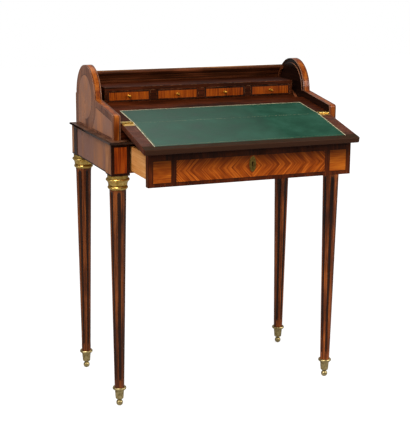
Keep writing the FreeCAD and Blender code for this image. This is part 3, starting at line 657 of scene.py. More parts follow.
@dataclass(frozen=True)
class PostVeneer(PanelVeneer):
    """A post: a red sheet on its front and back, the frieze's own veneer on its outer side."""

    side: Side = Side.LEFT
    line_end: float = 5.0
    rear_strip: float = 0.0
    foot: float = 4.0

    def regions(self, paint: Paint) -> list[Region]:
        """The red sheet and what goes on the side: a field up to a dark corner, or a strip behind a dark one.

        Args:
            paint: the tree.

        Returns:
            The sheet and the field.
        """
        sheet = super().regions(paint)[0]
        _, y, z = paint.split(paint.place)
        red = paint.sum("ADD", sheet.distance, paint.facing(Axis.ACROSS))
        start = self.high[1] - self.rear_strip * MM if self.rear_strip else self.low[1] + self.line_end * MM
        edge = paint.sum("SUBTRACT", start, y)
        foot = paint.sum("SUBTRACT", self.low[2] + self.foot * MM, z)
        field = paint.sum("ADD", paint.largest(edge, foot), paint.averted(Axis.ACROSS, self.side.value))
        return [
            Region(red, self.sheet, self.sheet_along, self.seed),
            Region(field, SIDE_STRIP, Axis.UP, self.seed),
        ]


@dataclass(frozen=True)
class CheekVeneer(Veneer):
    """A cheek: an arched sheet behind and a plain one in front, an orange strip on its edge, painted shade
    within.
    """

    side: Side = Side.LEFT
    arch: tuple[float, float] = (0, 0)
    low: Triple = (0, 0, 0)
    high: Triple = (0, 0, 0)
    arch_radius: float = 86.0
    arch_band: float = 27.0
    rear_band: float = 20.0
    foot_band: float = 6.0
    front_band: float = 8.0
    gap_radius: float = 98.0
    slant_band: float = 17.0
    slant_fall: float = 21.0
    slant_run: float = 164.0
    front_top: float = 781.0
    edge_line: float = 4.2
    rear_seed: float = 0.4
    front_seed: float = 2.7
    edge_seed: float = 1.9
    inner_seed: float = 3.3

    def regions(self, paint: Paint) -> list[Region]:
        """The arched sheet, the front sheet, the strip along the edge and the inner face darkened as painted
        shade.

        Args:
            paint: the tree.

        Returns:
            The four sheets.
        """
        x, y, z = paint.split(paint.place)
        out_y = paint.sum("SUBTRACT", y, self.arch[0])
        out_z = paint.sum("SUBTRACT", z, self.arch[1])
        squares = paint.sum("ADD", paint.sum("POWER", out_y, 2.0), paint.sum("POWER", out_z, 2.0))
        reach = paint.sum("POWER", squares, 0.5)
        foot = paint.sum("SUBTRACT", self.low[2] + self.foot_band * MM, z)
        hidden = paint.averted(Axis.ACROSS, self.side.value)

        round_edge = paint.sum("SUBTRACT", reach, (self.arch_radius - self.arch_band) * MM)
        behind_centre = paint.sum("GREATER_THAN", out_y, 0.0)
        under_centre = paint.sum("LESS_THAN", out_z, 0.0)
        straight = paint.sum("MULTIPLY", behind_centre, under_centre)
        rounded = paint.choose(straight, round_edge, -1.0)
        rear_side = paint.sum("SUBTRACT", y, self.high[1] - self.rear_band * MM)
        rear = paint.largest(rounded, rear_side, foot)

        away = paint.sum("SUBTRACT", self.gap_radius * MM, reach)
        front_side = paint.sum("SUBTRACT", self.low[1] + self.front_band * MM, y)
        from_front = paint.sum("SUBTRACT", y, self.low[1])
        slant = self.slant_fall / self.slant_run
        slant_z = paint.sum("MULTIPLY_ADD", from_front, slant, (self.front_top - self.slant_band) * MM)
        front = paint.largest(away, front_side, paint.sum("SUBTRACT", z, slant_z), foot, out_y)

        half_x = (self.high[0] - self.low[0]) / 2 - self.edge_line * MM
        strip = paint.beyond(x, (self.low[0] + self.high[0]) / 2, half_x)
        return [
            Region(paint.sum("ADD", rear, hidden), CHEEK_VENEER, Axis.UP, self.rear_seed),
            Region(paint.sum("ADD", front, hidden), CHEEK_VENEER, Axis.UP, self.front_seed),
            Region(paint.sum("ADD", strip, paint.facing(Axis.ACROSS)), EDGE_WOOD, Axis.UP, self.edge_seed),
            # The inner face near black: painted shade.
            Region(paint.averted(Axis.ACROSS, -self.side.value), SHADE_WOOD, Axis.THROUGH, self.inner_seed),
        ]


@dataclass(frozen=True)
class ChevronVeneer(Veneer):
    """The main drawer's front: a chevron sheet between two plain ones, in crossbanding with stringing."""

    low: Triple = (0, 0, 0)
    high: Triple = (0, 0, 0)
    border: float = 10.5
    # The top border is wider than the rest, set to the dark band under the flap: partly real border, partly
    # painted shade of the flap.
    top_border: float = 22.0
    end_border: float = 13.6
    side_sheet: float = 47.0
    between: float = 14.0
    rise: float = 0.95
    bend: float = 9.0
    bend_size: float = 60.0
    leaf_shift: float = 0.31
    side_seed: float = 5.3
    centre_seed: float = 0.8
    # Painted shade of the flap's overhang: the front darkens from the low height up to the high one.
    grime_low: float = 650.0
    grime_high: float = 684.0
    grime: float = 0.66
    grime_colour: str = "1A0A02"

    def regions(self, paint: Paint) -> list[Region]:
        """Left, right and middle sheets; the middle one is quartered into chevrons that point outwards.

        Args:
            paint: the tree.

        Returns:
            The two end sheets as one, and the middle sheet.
        """
        x, _, z = paint.split(paint.place)
        middle = [(a + b) / 2 for a, b in zip(self.low, self.high)]
        middle[2] -= (self.top_border - self.border) / 2 * MM
        half_x = (self.high[0] - self.low[0]) / 2
        half_z = (self.high[2] - self.low[2] - (self.top_border + self.border) * MM) / 2
        side_half = self.side_sheet / 2 * MM
        side_middle = half_x - self.end_border * MM - side_half
        reach = side_middle - side_half - self.between * MM
        out_x = paint.beyond(x, middle[0])
        out_z = paint.beyond(z, middle[2])
        tall = paint.beyond(z, middle[2], half_z)
        sides = paint.largest(paint.beyond(out_x, side_middle, side_half), tall)
        centre = paint.largest(paint.beyond(x, middle[0], reach), tall)
        across = paint.sum("MULTIPLY_ADD", out_z, self.rise, out_x)
        across = paint.sum("MULTIPLY_ADD", paint.blots(self.bend_size, 2.0), self.bend * MM, across)
        along = paint.sum("SUBTRACT", out_z, out_x)
        leaf = paint.sum("MULTIPLY", paint.sum("GREATER_THAN", x, middle[0]), self.leaf_shift)
        place = paint.join(across, leaf, along)
        hidden = paint.averted(Axis.THROUGH, -1)
        return [
            Region(paint.sum("ADD", sides, hidden), TULIPWOOD, Axis.ACROSS, self.side_seed),
            Region(paint.sum("ADD", centre, hidden), CHEVRON_WOOD, Axis.UP, self.centre_seed, place),
        ]

    def aged(self, paint: Paint, tint: Socket) -> Socket:
        """Paints the flap's shadow on the front: darker upwards, where the flap's overhang shades it.

        Args:
            paint: the tree.
            tint: the sheets' colour.

        Returns:
            The darker colour.
        """
        _, _, z = paint.split(paint.place)
        # Painted shadow of the flap, on the front face only.
        dark = paint.spread(z, self.grime_low * MM, self.grime_high * MM, 0.0, self.grime)
        dark = paint.sum("MULTIPLY", dark, paint.facing(Axis.THROUGH, -1))
        return paint.mix(dark, tint, colour(self.grime_colour))


@dataclass(frozen=True)
class Leather:
    """Old green writing leather with a worn gilt line inside its edges and a pale crease at its fold.

    The sheet keeps how far its edge and its fold are under from_edge and from_fold. The line is left out
    along the fold, and it has worn away along the flap's front. Its specular level falls from left to right,
    partly polish and partly painted sheen. Lengths are in millimetres.
    """

    name: str = "writing_leather"
    light: str = "2E5142"
    middle: str = "264738"
    deep: str = "213E31"
    gilt: str = "C2B593"
    mottle_size: float = 55.0
    mottle_detail: float = 4.0
    mottle_rough: float = 0.6
    stops: Triple = (0.3, 0.5, 0.72)
    brush_scale: Triple = (30, 260, 260)
    brush_from: float = 0.55
    brush_to: float = 0.8
    brush_share: float = 0.3
    line_inset: float = 1.8
    line_width: float = 2.2
    line_size: float = 12.0
    line_from: float = 0.3
    line_to: float = 0.5
    line_least: float = 0.25
    fold_wear: float = 1.4
    fold_soft: float = 0.6
    dash_size: float = 5.0
    dash_rough: float = 0.7
    dash_from: float = 0.5
    dash_to: float = 0.62
    dash_share: float = 0.22
    pebble: float = 0.9
    pebble_depth: float = 0.05
    rough_from: float = 0.3
    rough_to: float = 0.7
    rough_least: float = 0.5
    rough_most: float = 0.66
    # Specular level at the two ends of the leather's sheen gradient: partly polish, partly painted sheen.
    polish: float = 0.42
    dull: float = 0.0
    polish_end: float = 110.0
    polish_start: float = -240.0

    def paint(self) -> bpy.types.Material:
        """Makes the material: mottled dye, pebbled grain, scuffs, the worn gilt line, and a specular level
        that falls to the right, partly painted sheen.

        Returns:
            The material.
        """
        paint = Paint(self.name)
        mottle = paint.blots(self.mottle_size, self.mottle_detail, self.mottle_rough)
        tint = paint.ramp(mottle, self.stops, (self.deep, self.middle, self.light))
        brushed = paint.noise(paint.lay(paint.place, self.brush_scale), 1.0, 3.0)
        brushed = paint.spread(brushed, self.brush_from, self.brush_to, 0.0, self.brush_share)
        tint = paint.mix(brushed, tint, colour(self.light))
        ring = paint.beyond(paint.marked("from_edge"), self.line_inset * MM)
        line = paint.below(ring, self.line_width / 2 * MM)
        left = paint.blots(self.line_size, 2.0)
        left = paint.spread(left, self.line_from, self.line_to, self.line_least, 1.0)
        creased = paint.below(paint.marked("from_fold"), self.fold_wear * MM, self.fold_soft * MM)
        dashes = paint.blots(self.dash_size, rough=self.dash_rough)
        dashes = paint.spread(dashes, self.dash_from, self.dash_to, 0.0, self.dash_share)
        gilded = paint.largest(paint.sum("MULTIPLY", line, left), paint.sum("MULTIPLY", creased, dashes))
        tint = paint.mix(gilded, tint, colour(self.gilt))
        pebbles = paint.put("ShaderNodeTexVoronoi", ("Vector", paint.place),
                            ("Scale", 1 / (self.pebble * MM)))
        rough = paint.spread(mottle, self.rough_from, self.rough_to, self.rough_least, self.rough_most)
        across, _, _ = paint.split(paint.place)
        # Specular level falls from left to right: painted sheen on the left, partly polish.
        polish = paint.spread(across, self.polish_start * MM, self.polish_end * MM, self.polish, self.dull)
        return paint.finish(tint, rough, pebbles.outputs[0], self.pebble_depth, Specular_IOR_Level=polish)


@dataclass(frozen=True)
class Metal:
    """Brass or steel with dirt in its hollows and polish on its high parts; lengths in millimetres."""

    name: str
    bright: str
    middle: str
    dark: str
    rough: float = 0.3
    tarnish: float = 0.7
    patch_size: float = 7.0
    patch_detail: float = 4.0
    patch_rough: float = 0.6
    stops: tuple[float, float] = (0.35, 0.65)
    dirt_from: float = 0.5
    dirt_to: float = 0.2
    dirt_share: float = 0.5
    polished: float = 0.7
    haze_from: float = 0.3
    haze_to: float = 0.7
    rougher: float = 0.12
    smoother: float = 0.04
    dirt_rough: float = 0.15
    fine_size: float = 1.2
    fine_depth: float = 0.02

    def paint(self) -> bpy.types.Material:
        """Makes the material.

        Returns:
            The material.
        """
        paint = Paint(self.name)
        patches = paint.blots(self.patch_size, self.patch_detail, self.patch_rough)
        tint = paint.ramp(patches, self.stops, (self.middle, self.bright))
        spots = paint.spread(patches, self.dirt_from, self.dirt_to, 0.0, self.dirt_share)
        dirt = paint.sum("MULTIPLY", paint.sum("ADD", paint.marked("hollow"), spots), self.tarnish)
        dirt = paint.sum("MINIMUM", dirt, 1.0)
        tint = paint.mix(dirt, tint, colour(self.dark))
        polish = paint.sum("MULTIPLY", paint.marked("arris"), self.polished)
        tint = paint.mix(polish, tint, colour(self.bright))
        haze = paint.spread(patches, self.haze_from, self.haze_to, self.rough + self.rougher,
                            self.rough - self.smoother)
        rough = paint.sum("ADD", haze, paint.sum("MULTIPLY", dirt, self.dirt_rough))
        return paint.finish(tint, rough, paint.blots(self.fine_size), self.fine_depth, Metallic=1.0)


@dataclass(frozen=True)
class Finishes:
    """Every finish on the desk that more than one piece shares, made once."""

    leg: Timber = Timber("leg_mahogany", MAHOGANY, Axis.UP, 0.3, rough=0.26, gloss=0.24)
    # A lit copy of the legs' mahogany for the right legs: painted light.
    right_leg: Timber = Timber("right_leg_mahogany", PAINTED_LIGHT_MAHOGANY, Axis.UP, 0.3, rough=0.26, gloss=0.24)
    moulding: Timber = Timber("moulding_rosewood", MOULDING_WOOD, Axis.ACROSS, 1.1, rough=0.3, wear=0.9,
                              worn="A58A70")
    dark: Timber = Timber("frame_mahogany", DARK_MAHOGANY, Axis.ACROSS, 2.2, rough=0.4, gloss=0.06)
    # The flap board's top is painted darker in front of y = -234 mm: partly worn polish, partly painted
    # shade.
    board: Timber = Timber("board_mahogany", BOARD_WOOD, Axis.ACROSS, 2.9, rough=0.42, gloss=0.1, wear=1.0,
                           worn="C8A484", front="3A2113", scuff=0.13, dull_end=-234.0)
    slab: Timber = Timber("slab_mahogany", DARK_MAHOGANY, Axis.ACROSS, 4.3, rough=0.42, gloss=0.04, wear=0.8)
    carcass: Timber = Timber("carcass_oak", OLD_OAK, Axis.ACROSS, 3.7, rough=0.55, wear=0.3)
    lid: Timber = Timber("lid_mahogany", LID_WOOD, Axis.ACROSS, 5.5, rough=0.42, gloss=0.05, wear=0.5)
    drawer: Timber = Timber("drawer_oak", BLOND_OAK, Axis.THROUGH, 6.1, rough=0.5, gloss=0.25, wear=0.2,
                            worn="F4D6A6")
    brass: Metal = Metal("old_brass", "E8C474", "BC923C", "36270A", rough=0.3, tarnish=0.6)
    foot: Metal = Metal("foot_brass", "D2BC86", "A08A56", "2E2614", rough=0.34, tarnish=0.8)
    knob: Metal = Metal("knob_brass", "CC9038", "96621E", "2C1A06", rough=0.42)
    plate: Metal = Metal("plate_brass", "8A7238", "604C20", "1E160A", rough=0.34)
    steel: Metal = Metal("old_steel", "A9A49B", "7E7972", "35302B", rough=0.38)

    def made(self) -> dict[str, bpy.types.Material]:
        """Every shared finish's material by its field's name."""
        return {name: getattr(self, name).paint() for name in self.__dataclass_fields__}


class Growth(Tree):
    """A Geometry Nodes tree with named sizes, run once on an empty object."""

    def __init__(self, name: str, **sizes: Union[int, float]) -> None:
        """Makes the tree and an input for each size.

        Args:
            name: the tree's name.
            sizes: the inputs' names, with low lines for spaces, and their values.
        """
        super().__init__(bpy.data.node_groups.new(name, "GeometryNodeTree"))
        self.tree.is_modifier = True
        self.values: dict[str, Union[int, float]] = {}
        for label, value in sizes.items():
            kind = "NodeSocketInt" if isinstance(value, int) else "NodeSocketFloat"
            item = self.tree.interface.new_socket(label.replace("_", " "), in_out="INPUT", socket_type=kind)
            self.values[item.identifier] = value
        self.tree.interface.new_socket("Geometry", in_out="OUTPUT", socket_type="NodeSocketGeometry")
        sources = self.put("NodeGroupInput").outputs
        self.size = {label: sources[i] for i, label in enumerate(sizes)}

    def pick(self, test: Wire, false: Wire, true: Wire) -> Socket:
        """One of two numbers."""
        return self.put("GeometryNodeSwitch", ("Switch", test), ("False", false), ("True", true),
                        input_type="FLOAT").outputs[0]

    def mark(self, shape: Socket, name: str, value: Wire) -> Socket:
        """Keeps a number at each point of a shape under a name."""
        return self.put("GeometryNodeStoreNamedAttribute", ("Geometry", shape), ("Name", name),
                        ("Value", value), data_type="FLOAT", domain="POINT").outputs[0]

    def rotation(self, x: Wire = 0.0, z: Wire = 0.0) -> Socket:
        """A turn about the x axis, the z axis or both."""
        return self.put("FunctionNodeEulerToRotation", (0, self.join(x, 0.0, z))).outputs[0]

    def set_at(self, shape: Socket, place: Socket) -> Socket:
        """A shape with each of its points at a place of its own."""
        return self.put("GeometryNodeSetPosition", ("Geometry", shape), ("Position", place)).outputs[0]

    def moved(self, shape: Socket, place: Socket, *wires: tuple[str, Wire]) -> Socket:
        """A shape moved as a whole, and turned where a Rotation is given."""
        return self.put("GeometryNodeTransform", ("Geometry", shape), ("Translation", place),
                        *wires).outputs[0]

    def repeated(self, points: Socket, shape: Socket, *wires: tuple[str, Wire]) -> Socket:
        """A copy of a shape at each point, with a Rotation or Selection where one is given."""
        return self.put("GeometryNodeInstanceOnPoints", ("Points", points), ("Instance", shape),
                        *wires).outputs[0]

    def disc(self, sides: int, radius: Socket, height: Socket) -> Socket:
        """A short upright cylinder or prism."""
        return self.put("GeometryNodeMeshCylinder", ("Vertices", sides), ("Radius", radius),
                        ("Depth", height)).outputs["Mesh"]

    def grow(self, shape: Socket, finish: bpy.types.Material) -> bpy.types.Mesh:
        """Ends the tree, runs it and gives its mesh.

        Args:
            shape: what the tree has built.
            finish: the material that it ends in.

        Returns:
            The mesh.
        """
        whole = self.put("GeometryNodeRealizeInstances", (0, shape))
        dressed = self.put("GeometryNodeSetMaterial", (0, whole.outputs[0]), ("Material", finish))
        self.put("NodeGroupOutput", (0, dressed.outputs[0]))
        raw = stand(self.tree.name, bpy.data.meshes.new(self.tree.name))
        modifier = raw.modifiers.new("growth", "NODES")
        modifier.node_group = self.tree
        for identifier, value in self.values.items():
            modifier[identifier] = value
        return Workshop.evaluated(raw)


class Workshop:
    """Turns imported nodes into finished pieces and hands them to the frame."""

    def __init__(self, nodes: dict[str, bpy.types.Object], record: dict) -> None:
        """Keeps the nodes, the bodies they ride on and their slots.

        Args:
            nodes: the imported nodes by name.
            record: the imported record.
        """
        self.nodes = nodes
        self.shared: dict[str, bpy.types.Material] = {}
        self.body_of = {n: body for body, names in record["behaviour"]["bodies"].items() for n in names}
        self.slot_of = {n: self.slot_name(n) for n in nodes}

    def slot_name(self, node: str) -> str:
        """The record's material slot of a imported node."""
        return self.nodes[node].data.materials[0].name.split(".")[0]

    def corners(self, node: str) -> tuple[tuple[float, ...], tuple[float, ...]]:
        """A node's lowest and highest corners as plain numbers."""
        low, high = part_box(node)
        return tuple(low), tuple(high)

    def opened(self, node: str) -> bmesh.types.BMesh:
        """A copy of a node's mesh with its doubles merged.

        Args:
            node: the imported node.

        Returns:
            The mesh, open for work.
        """
        work = bmesh.new()
        work.from_mesh(self.nodes[node].data)
        bmesh.ops.remove_doubles(work, verts=work.verts, dist=DOUBLES)
        return work

    def merged(self, node: str) -> bmesh.types.BMesh:
        """A copy of a node's mesh with its doubles merged and its flat faces whole.

        Args:
            node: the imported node.

        Returns:
            The mesh, open for work.
        """
        work = self.opened(node)
        bmesh.ops.dissolve_limit(work, angle_limit=FLAT_BEND, verts=work.verts, edges=work.edges,
                                 delimit=set())
        return work

    def place(self, name: str, mesh: bpy.types.Mesh, finish: bpy.types.Material, *nodes: str,
              body: Optional[str] = None, slot: Optional[str] = None) -> None:
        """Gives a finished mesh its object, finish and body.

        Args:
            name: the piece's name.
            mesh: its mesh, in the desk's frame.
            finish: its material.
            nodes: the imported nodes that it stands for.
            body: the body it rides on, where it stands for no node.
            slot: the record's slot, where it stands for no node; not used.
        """
        mesh.materials.clear()
        mesh.materials.append(finish)
        piece = stand(name, mesh)
        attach(piece, body or self.body_of[nodes[0]])
        if nodes:
            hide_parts(*nodes)
        log.info("%s: %d faces", name, len(mesh.polygons))

    def dress(self, *parts: Dress) -> None:
        """Makes the pieces of plain nodes in the shared finishes.

        Args:
            parts: each node, its finish, and how far its arrises are taken off, in millimetres.
        """
        for node, finish, radius in parts:
            self.softened(node, self.shared[finish], radius)

    def softened(self, node: str, finish: bpy.types.Material, radius: float, segments: int = 2,
                 angle: float = 32.0) -> None:
        """A node's piece with its arrises taken off, and the rubbed part marked.

        Args:
            node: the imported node.
            finish: its material.
            radius: how far the arris is taken off, in millimetres.
            segments: the faces round it.
            angle: edges sharper than this are taken off, in degrees.
        """
        mesh = self.closed(self.merged(node), node + "_soft")
        mesh.materials.clear()
        mesh.materials.append(finish)
        mesh.materials.append(finish)
        for face in mesh.polygons:
            face.use_smooth = True
            face.material_index = 0
        raw = stand(node + "_raw", mesh)
        bevel = raw.modifiers.new("arris", "BEVEL")
        bevel.width = radius * MM
        bevel.segments = segments
        bevel.limit_method = "ANGLE"
        bevel.angle_limit = math.radians(angle)
        bevel.material = 1
        bevel.use_clamp_overlap = True
        weighted = raw.modifiers.new("flat", "WEIGHTED_NORMAL")
        weighted.keep_sharp = True
        done = self.evaluated(raw)
        self.mark(done, "arris", [float(face.material_index) for face in done.polygons], "FACE")
        for face in done.polygons:
            face.material_index = 0
        self.place(node + "_piece", done, finish, node)

    def turned(self, node: str, finish: bpy.types.Material, angle: float = 40.0) -> None:
        """A node's turned or cast piece, smooth but for its sharp edges, with its hollows marked.

        Args:
            node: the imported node.
            finish: its material.
            angle: edges sharper than this stay sharp, in degrees.
        """
        work = self.opened(node)
        self.shade(work, angle)
        hollow = self.hollows(work)
        mesh = self.closed(work, node + "_turned")
        self.mark(mesh, "hollow", hollow, "POINT")
        self.place(node + "_piece", mesh, finish, node)

    @staticmethod
    def hollows(work: bmesh.types.BMesh, full: float = 260.0, passes: int = 2) -> list[float]:
        """How hollow the surface is at each point.

        Args:
            work: the mesh.
            full: the bend, one over its radius in metres, that counts as fully hollow.
            passes: how often the values are evened out.

        Returns:
            A number from nought to one for each point.
        """
        work.normal_update()
        work.verts.ensure_lookup_table()
        values = []
        for point in work.verts:
            bends = []
            for edge in point.link_edges:
                step = edge.other_vert(point).co - point.co
                bends.append(2 * step.dot(point.normal) / max(step.length_squared, SHORTEST_SQUARE))
            values.append(max(0.0, min(1.0, sum(bends) / max(len(bends), 1) / full)))
        for _ in range(passes):
            values = [(values[p.index] + sum(values[e.other_vert(p).index] for e in p.link_edges))
                      / (1 + len(p.link_edges)) for p in work.verts]
        return values

    @staticmethod
    def evaluated(raw: bpy.types.Object) -> bpy.types.Mesh:
        """The mesh that an object's modifiers give; the object goes.

        Args:
            raw: the object.

        Returns:
            The mesh.
        """
        bpy.context.view_layer.update()
        depsgraph = bpy.context.evaluated_depsgraph_get()
        mesh = bpy.data.meshes.new_from_object(raw.evaluated_get(depsgraph), depsgraph=depsgraph)
        bpy.data.objects.remove(raw)
        return mesh

    @staticmethod
    def closed(work: bmesh.types.BMesh, name: str) -> bpy.types.Mesh:
        """Ends the work on a mesh.

        Args:
            work: the mesh, open for work.
            name: the finished mesh's name.

        Returns:
            The finished mesh.
        """
        mesh = bpy.data.meshes.new(name)
        work.to_mesh(mesh)
        work.free()
        return mesh

    @staticmethod
    def shade(work: bmesh.types.BMesh, angle: float) -> None:
        """Shades a mesh smooth but for its sharp edges.

        Args:
            work: the mesh.
            angle: edges sharper than this stay sharp, in degrees.
        """
        for face in work.faces:
            face.smooth = True
        for edge in work.edges:
            edge.smooth = edge.calc_face_angle(0.0) < math.radians(angle)

    @staticmethod
    def smooth(mesh: bpy.types.Mesh, angle: float) -> bpy.types.Mesh:
        """Turns a mesh's faces out and shades it smooth but for its sharp edges.

        Args:
            mesh: the mesh.
            angle: edges sharper than this stay sharp, in degrees.

        Returns:
            The same mesh.
        """
        work = bmesh.new()
        work.from_mesh(mesh)
        bmesh.ops.recalc_face_normals(work, faces=work.faces)
        Workshop.shade(work, angle)
        work.to_mesh(mesh)
        work.free()
        return mesh

    @staticmethod
    def mark(mesh: bpy.types.Mesh, name: str, values: Iterable[float], domain: str) -> None:
        """Keeps a number for each face or point under a name."""
        attribute = mesh.attributes.new(name, "FLOAT", domain)
        attribute.data.foreach_set("value", list(values))


@dataclass
class Legs:
    """Four fluted legs with their brass rings and feet; lengths in millimetres, turns in degrees."""

    shop: Workshop
    top_radius: float = 21.8
    bottom_radius: float = 13.0
    neck_radius: float = 18.0
    stub_radius: float = 8.0
    flutes: int = 6
    flute_top: float = 6.6
    flute_bottom: float = 4.2
    flute_depth: float = 0.55
    top_margin: float = 12.0
    bottom_margin: float = 24.0
    ring_height: float = 37.5
    foot_height: float = 53.0
    turns: tuple[float, ...] = (-8.0, -15.0, 13.0, 17.0)
    around: int = 168
    rows: int = 130
    end_rows: float = 2.0
    crease: float = 28.0

    def build(self) -> None:
        """Grows the legs, dresses the rings and feet."""
        for place, turn in zip(CORNERS, self.turns):
            self.leg(place, turn)
        self.shop.turned("capital_rings", self.shop.shared["brass"])
        self.shop.turned("sabots", self.shop.shared["foot"])

    def leg(self, place: str, turn: float) -> None:
        """One leg, grown from a cylinder: its rows take the profile, its points the flutes.

        The lowest rows make the stub in the foot, and the highest rows the neck in the ring.

        Args:
            place: which of the four it is.
            turn: how far it is turned about its axis.
        """
        low, high = self.shop.corners("leg_" + place)
        post_low, post_high = self.shop.corners("corner_post_" + place)
        tree = Growth("fluted_leg_" + place, Around=self.around, Rows=self.rows,
                      Centre_X=(post_low[0] + post_high[0]) / 2, Centre_Y=(post_low[1] + post_high[1]) / 2,
                      Stub_Bottom=low[2], Shaft_Bottom=self.foot_height * MM,
                      Shaft_Top=high[2] - self.ring_height * MM, Neck_Top=high[2],
                      Stub_Radius=self.stub_radius * MM, Bottom_Radius=self.bottom_radius * MM,
                      Top_Radius=self.top_radius * MM, Neck_Radius=self.neck_radius * MM,
                      Flutes=self.flutes, Turn=math.radians(turn), Flute_Top=self.flute_top * MM,
                      Flute_Bottom=self.flute_bottom * MM, Flute_Depth=self.flute_depth,
                      Top_Margin=self.top_margin * MM, Bottom_Margin=self.bottom_margin * MM)
        size, add = tree.size, tree.sum
        body = tree.put("GeometryNodeMeshCylinder", ("Vertices", size["Around"]),
                        ("Side Segments", size["Rows"]), ("Radius", 1.0), ("Depth", 1.0)).outputs["Mesh"]
        x, y, height = tree.split(tree.put("GeometryNodeInputPosition").outputs[0])
        row = add("ROUND", add("MULTIPLY", add("ADD", height, 0.5), size["Rows"]))
        left = add("SUBTRACT", size["Rows"], row)
        share = tree.spread(row, self.end_rows, add("SUBTRACT", size["Rows"], self.end_rows))
        z = self.between(tree, share, "Shaft_Bottom", "Shaft_Top")
        z = tree.pick(add("LESS_THAN", row, 0.5), z, size["Stub_Bottom"])
        z = tree.pick(add("LESS_THAN", left, 0.5), z, size["Neck_Top"])
        full = self.between(tree, share, "Bottom_Radius", "Top_Radius")
        angle = add("ARCTAN2", y, x)
        cut = self.flute(tree, z, angle, full)
        reach = tree.pick(add("LESS_THAN", row, self.end_rows - 0.5), cut, size["Stub_Radius"])
        reach = tree.pick(add("LESS_THAN", left, self.end_rows - 0.5), reach, size["Neck_Radius"])
        spot = tree.join(add("MULTIPLY_ADD", add("COSINE", angle), reach, size["Centre_X"]),
                         add("MULTIPLY_ADD", add("SINE", angle), reach, size["Centre_Y"]), z)
        deepest = add("MULTIPLY", size["Flute_Bottom"], size["Flute_Depth"])
        depth = add("DIVIDE", add("SUBTRACT", full, cut), deepest)
        body = tree.set_at(tree.mark(body, "hollow", depth), spot)
        # The right legs take the lightened copy of the wood: painted light.
        finish = self.shop.shared["leg" if "left" in place else "right_leg"]
        mesh = Workshop.smooth(tree.grow(body, finish), self.crease)
        self.shop.place("leg_" + place + "_piece", mesh, finish, "leg_" + place)

    @staticmethod
    def between(tree: Growth, share: Socket, first: str, last: str) -> Socket:
        """A value that goes from one size to another."""
        span = tree.sum("SUBTRACT", tree.size[last], tree.size[first])
        return tree.sum("MULTIPLY_ADD", share, span, tree.size[first])

    @staticmethod
    def flute(tree: Growth, z: Socket, angle: Socket, full: Socket) -> Socket:
        """The shaft's radius at a point, with the flutes taken out.

        Args:
            tree: the leg's tree.
            z: the point's height.
            angle: its place round the axis.
            full: the radius there without flutes.

        Returns:
            The radius.
        """
        size, add = tree.size, tree.sum
        start = add("ADD", size["Shaft_Bottom"], size["Bottom_Margin"])
        stop = add("SUBTRACT", size["Shaft_Top"], size["Top_Margin"])
        wide = Legs.between(tree, tree.spread(z, start, stop), "Flute_Bottom", "Flute_Top")
        over = tree.largest(add("SUBTRACT", z, stop), add("SUBTRACT", start, z), 0.0)
        centre = add("MULTIPLY_ADD", wide, add("SUBTRACT", 1.0, size["Flute_Depth"]), full)
        pitch = add("DIVIDE", math.tau, size["Flutes"])
        within = add("WRAP", add("SUBTRACT", angle, size["Turn"]), pitch, 0.0)
        off = add("SUBTRACT", within, add("DIVIDE", pitch, 2.0))
        aside = add("MULTIPLY", centre, add("SINE", off))
        room = add("SUBTRACT", add("MULTIPLY", wide, wide), add("MULTIPLY", over, over))
        room = add("SUBTRACT", room, add("MULTIPLY", aside, aside))
        ahead = add("MULTIPLY", centre, add("COSINE", off))
        near = add("SUBTRACT", ahead, add("SQRT", tree.largest(room, 0.0)))
        return tree.pick(add("GREATER_THAN", room, 0.0), full, add("MINIMUM", full, near))


@dataclass
class Frieze:
    """Posts, panels, moulding, runners and dust board round the main drawer; lengths in millimetres."""

    shop: Workshop
    post_border: float = 8.5
    post_top_border: float = 7.0
    post_arris: float = 0.8
    post_seed: float = 1.7
    panel_border: float = 3.5
    panel_arris: float = 0.4
    rear_strip: float = 19.0
    panels: tuple[tuple[str, float], ...] = (("side_panel_left", 0.9), ("side_panel_right", 2.3),
                                             ("back_panel", 4.4))
    plain: tuple[Dress, ...] = (("waist_moulding", "moulding", 0.9), ("cheek_seats", "moulding", 0.3),
                                ("front_rail", "moulding", 0.5), ("drawer_runners", "drawer", 0.8),
                                ("dust_board", "carcass", 0.6))

    def build(self) -> None:
        """Dresses every piece of the frieze."""
        for number, name in enumerate(CORNERS):
            self.post(name, self.post_seed + number)
        for node, seed in self.panels:
            self.panel(node, seed)
        self.shop.dress(*self.plain)

    def post(self, name: str, seed: float) -> None:
        """A post with a reddish sheet in a dark border on its front and back.

        Args:
            name: which of the four it is.
            seed: of its grain.
        """
        node = "corner_post_" + name
        low, high = self.shop.corners(node)
        look = PostVeneer("post_veneer_" + name, ROSEWOOD, low=low, high=high, inset_x=self.post_border,
                          inset_y=self.post_border, inset_z=self.post_top_border, sheet=RED_TULIPWOOD,
                          seed=seed, side=Side.LEFT if "left" in name else Side.RIGHT,
                          rear_strip=self.rear_strip if "rear" in name else 0.0)
        self.shop.softened(node, look.paint(), self.post_arris)

    def panel(self, node: str, seed: float) -> None:
        """A side or back panel with one wide sheet in a darker border.

        Args:
            node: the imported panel.
            seed: of its grain.
        """
        low, high = self.shop.corners(node)
        look = PanelVeneer(node + "_veneer", ROSEWOOD, low=low, high=high, inset_x=0.0, inset_y=0.0,
                           inset_z=self.panel_border, sheet=SIDE_VENEER, seed=seed)
        self.shop.softened(node, look.paint(), self.panel_arris)


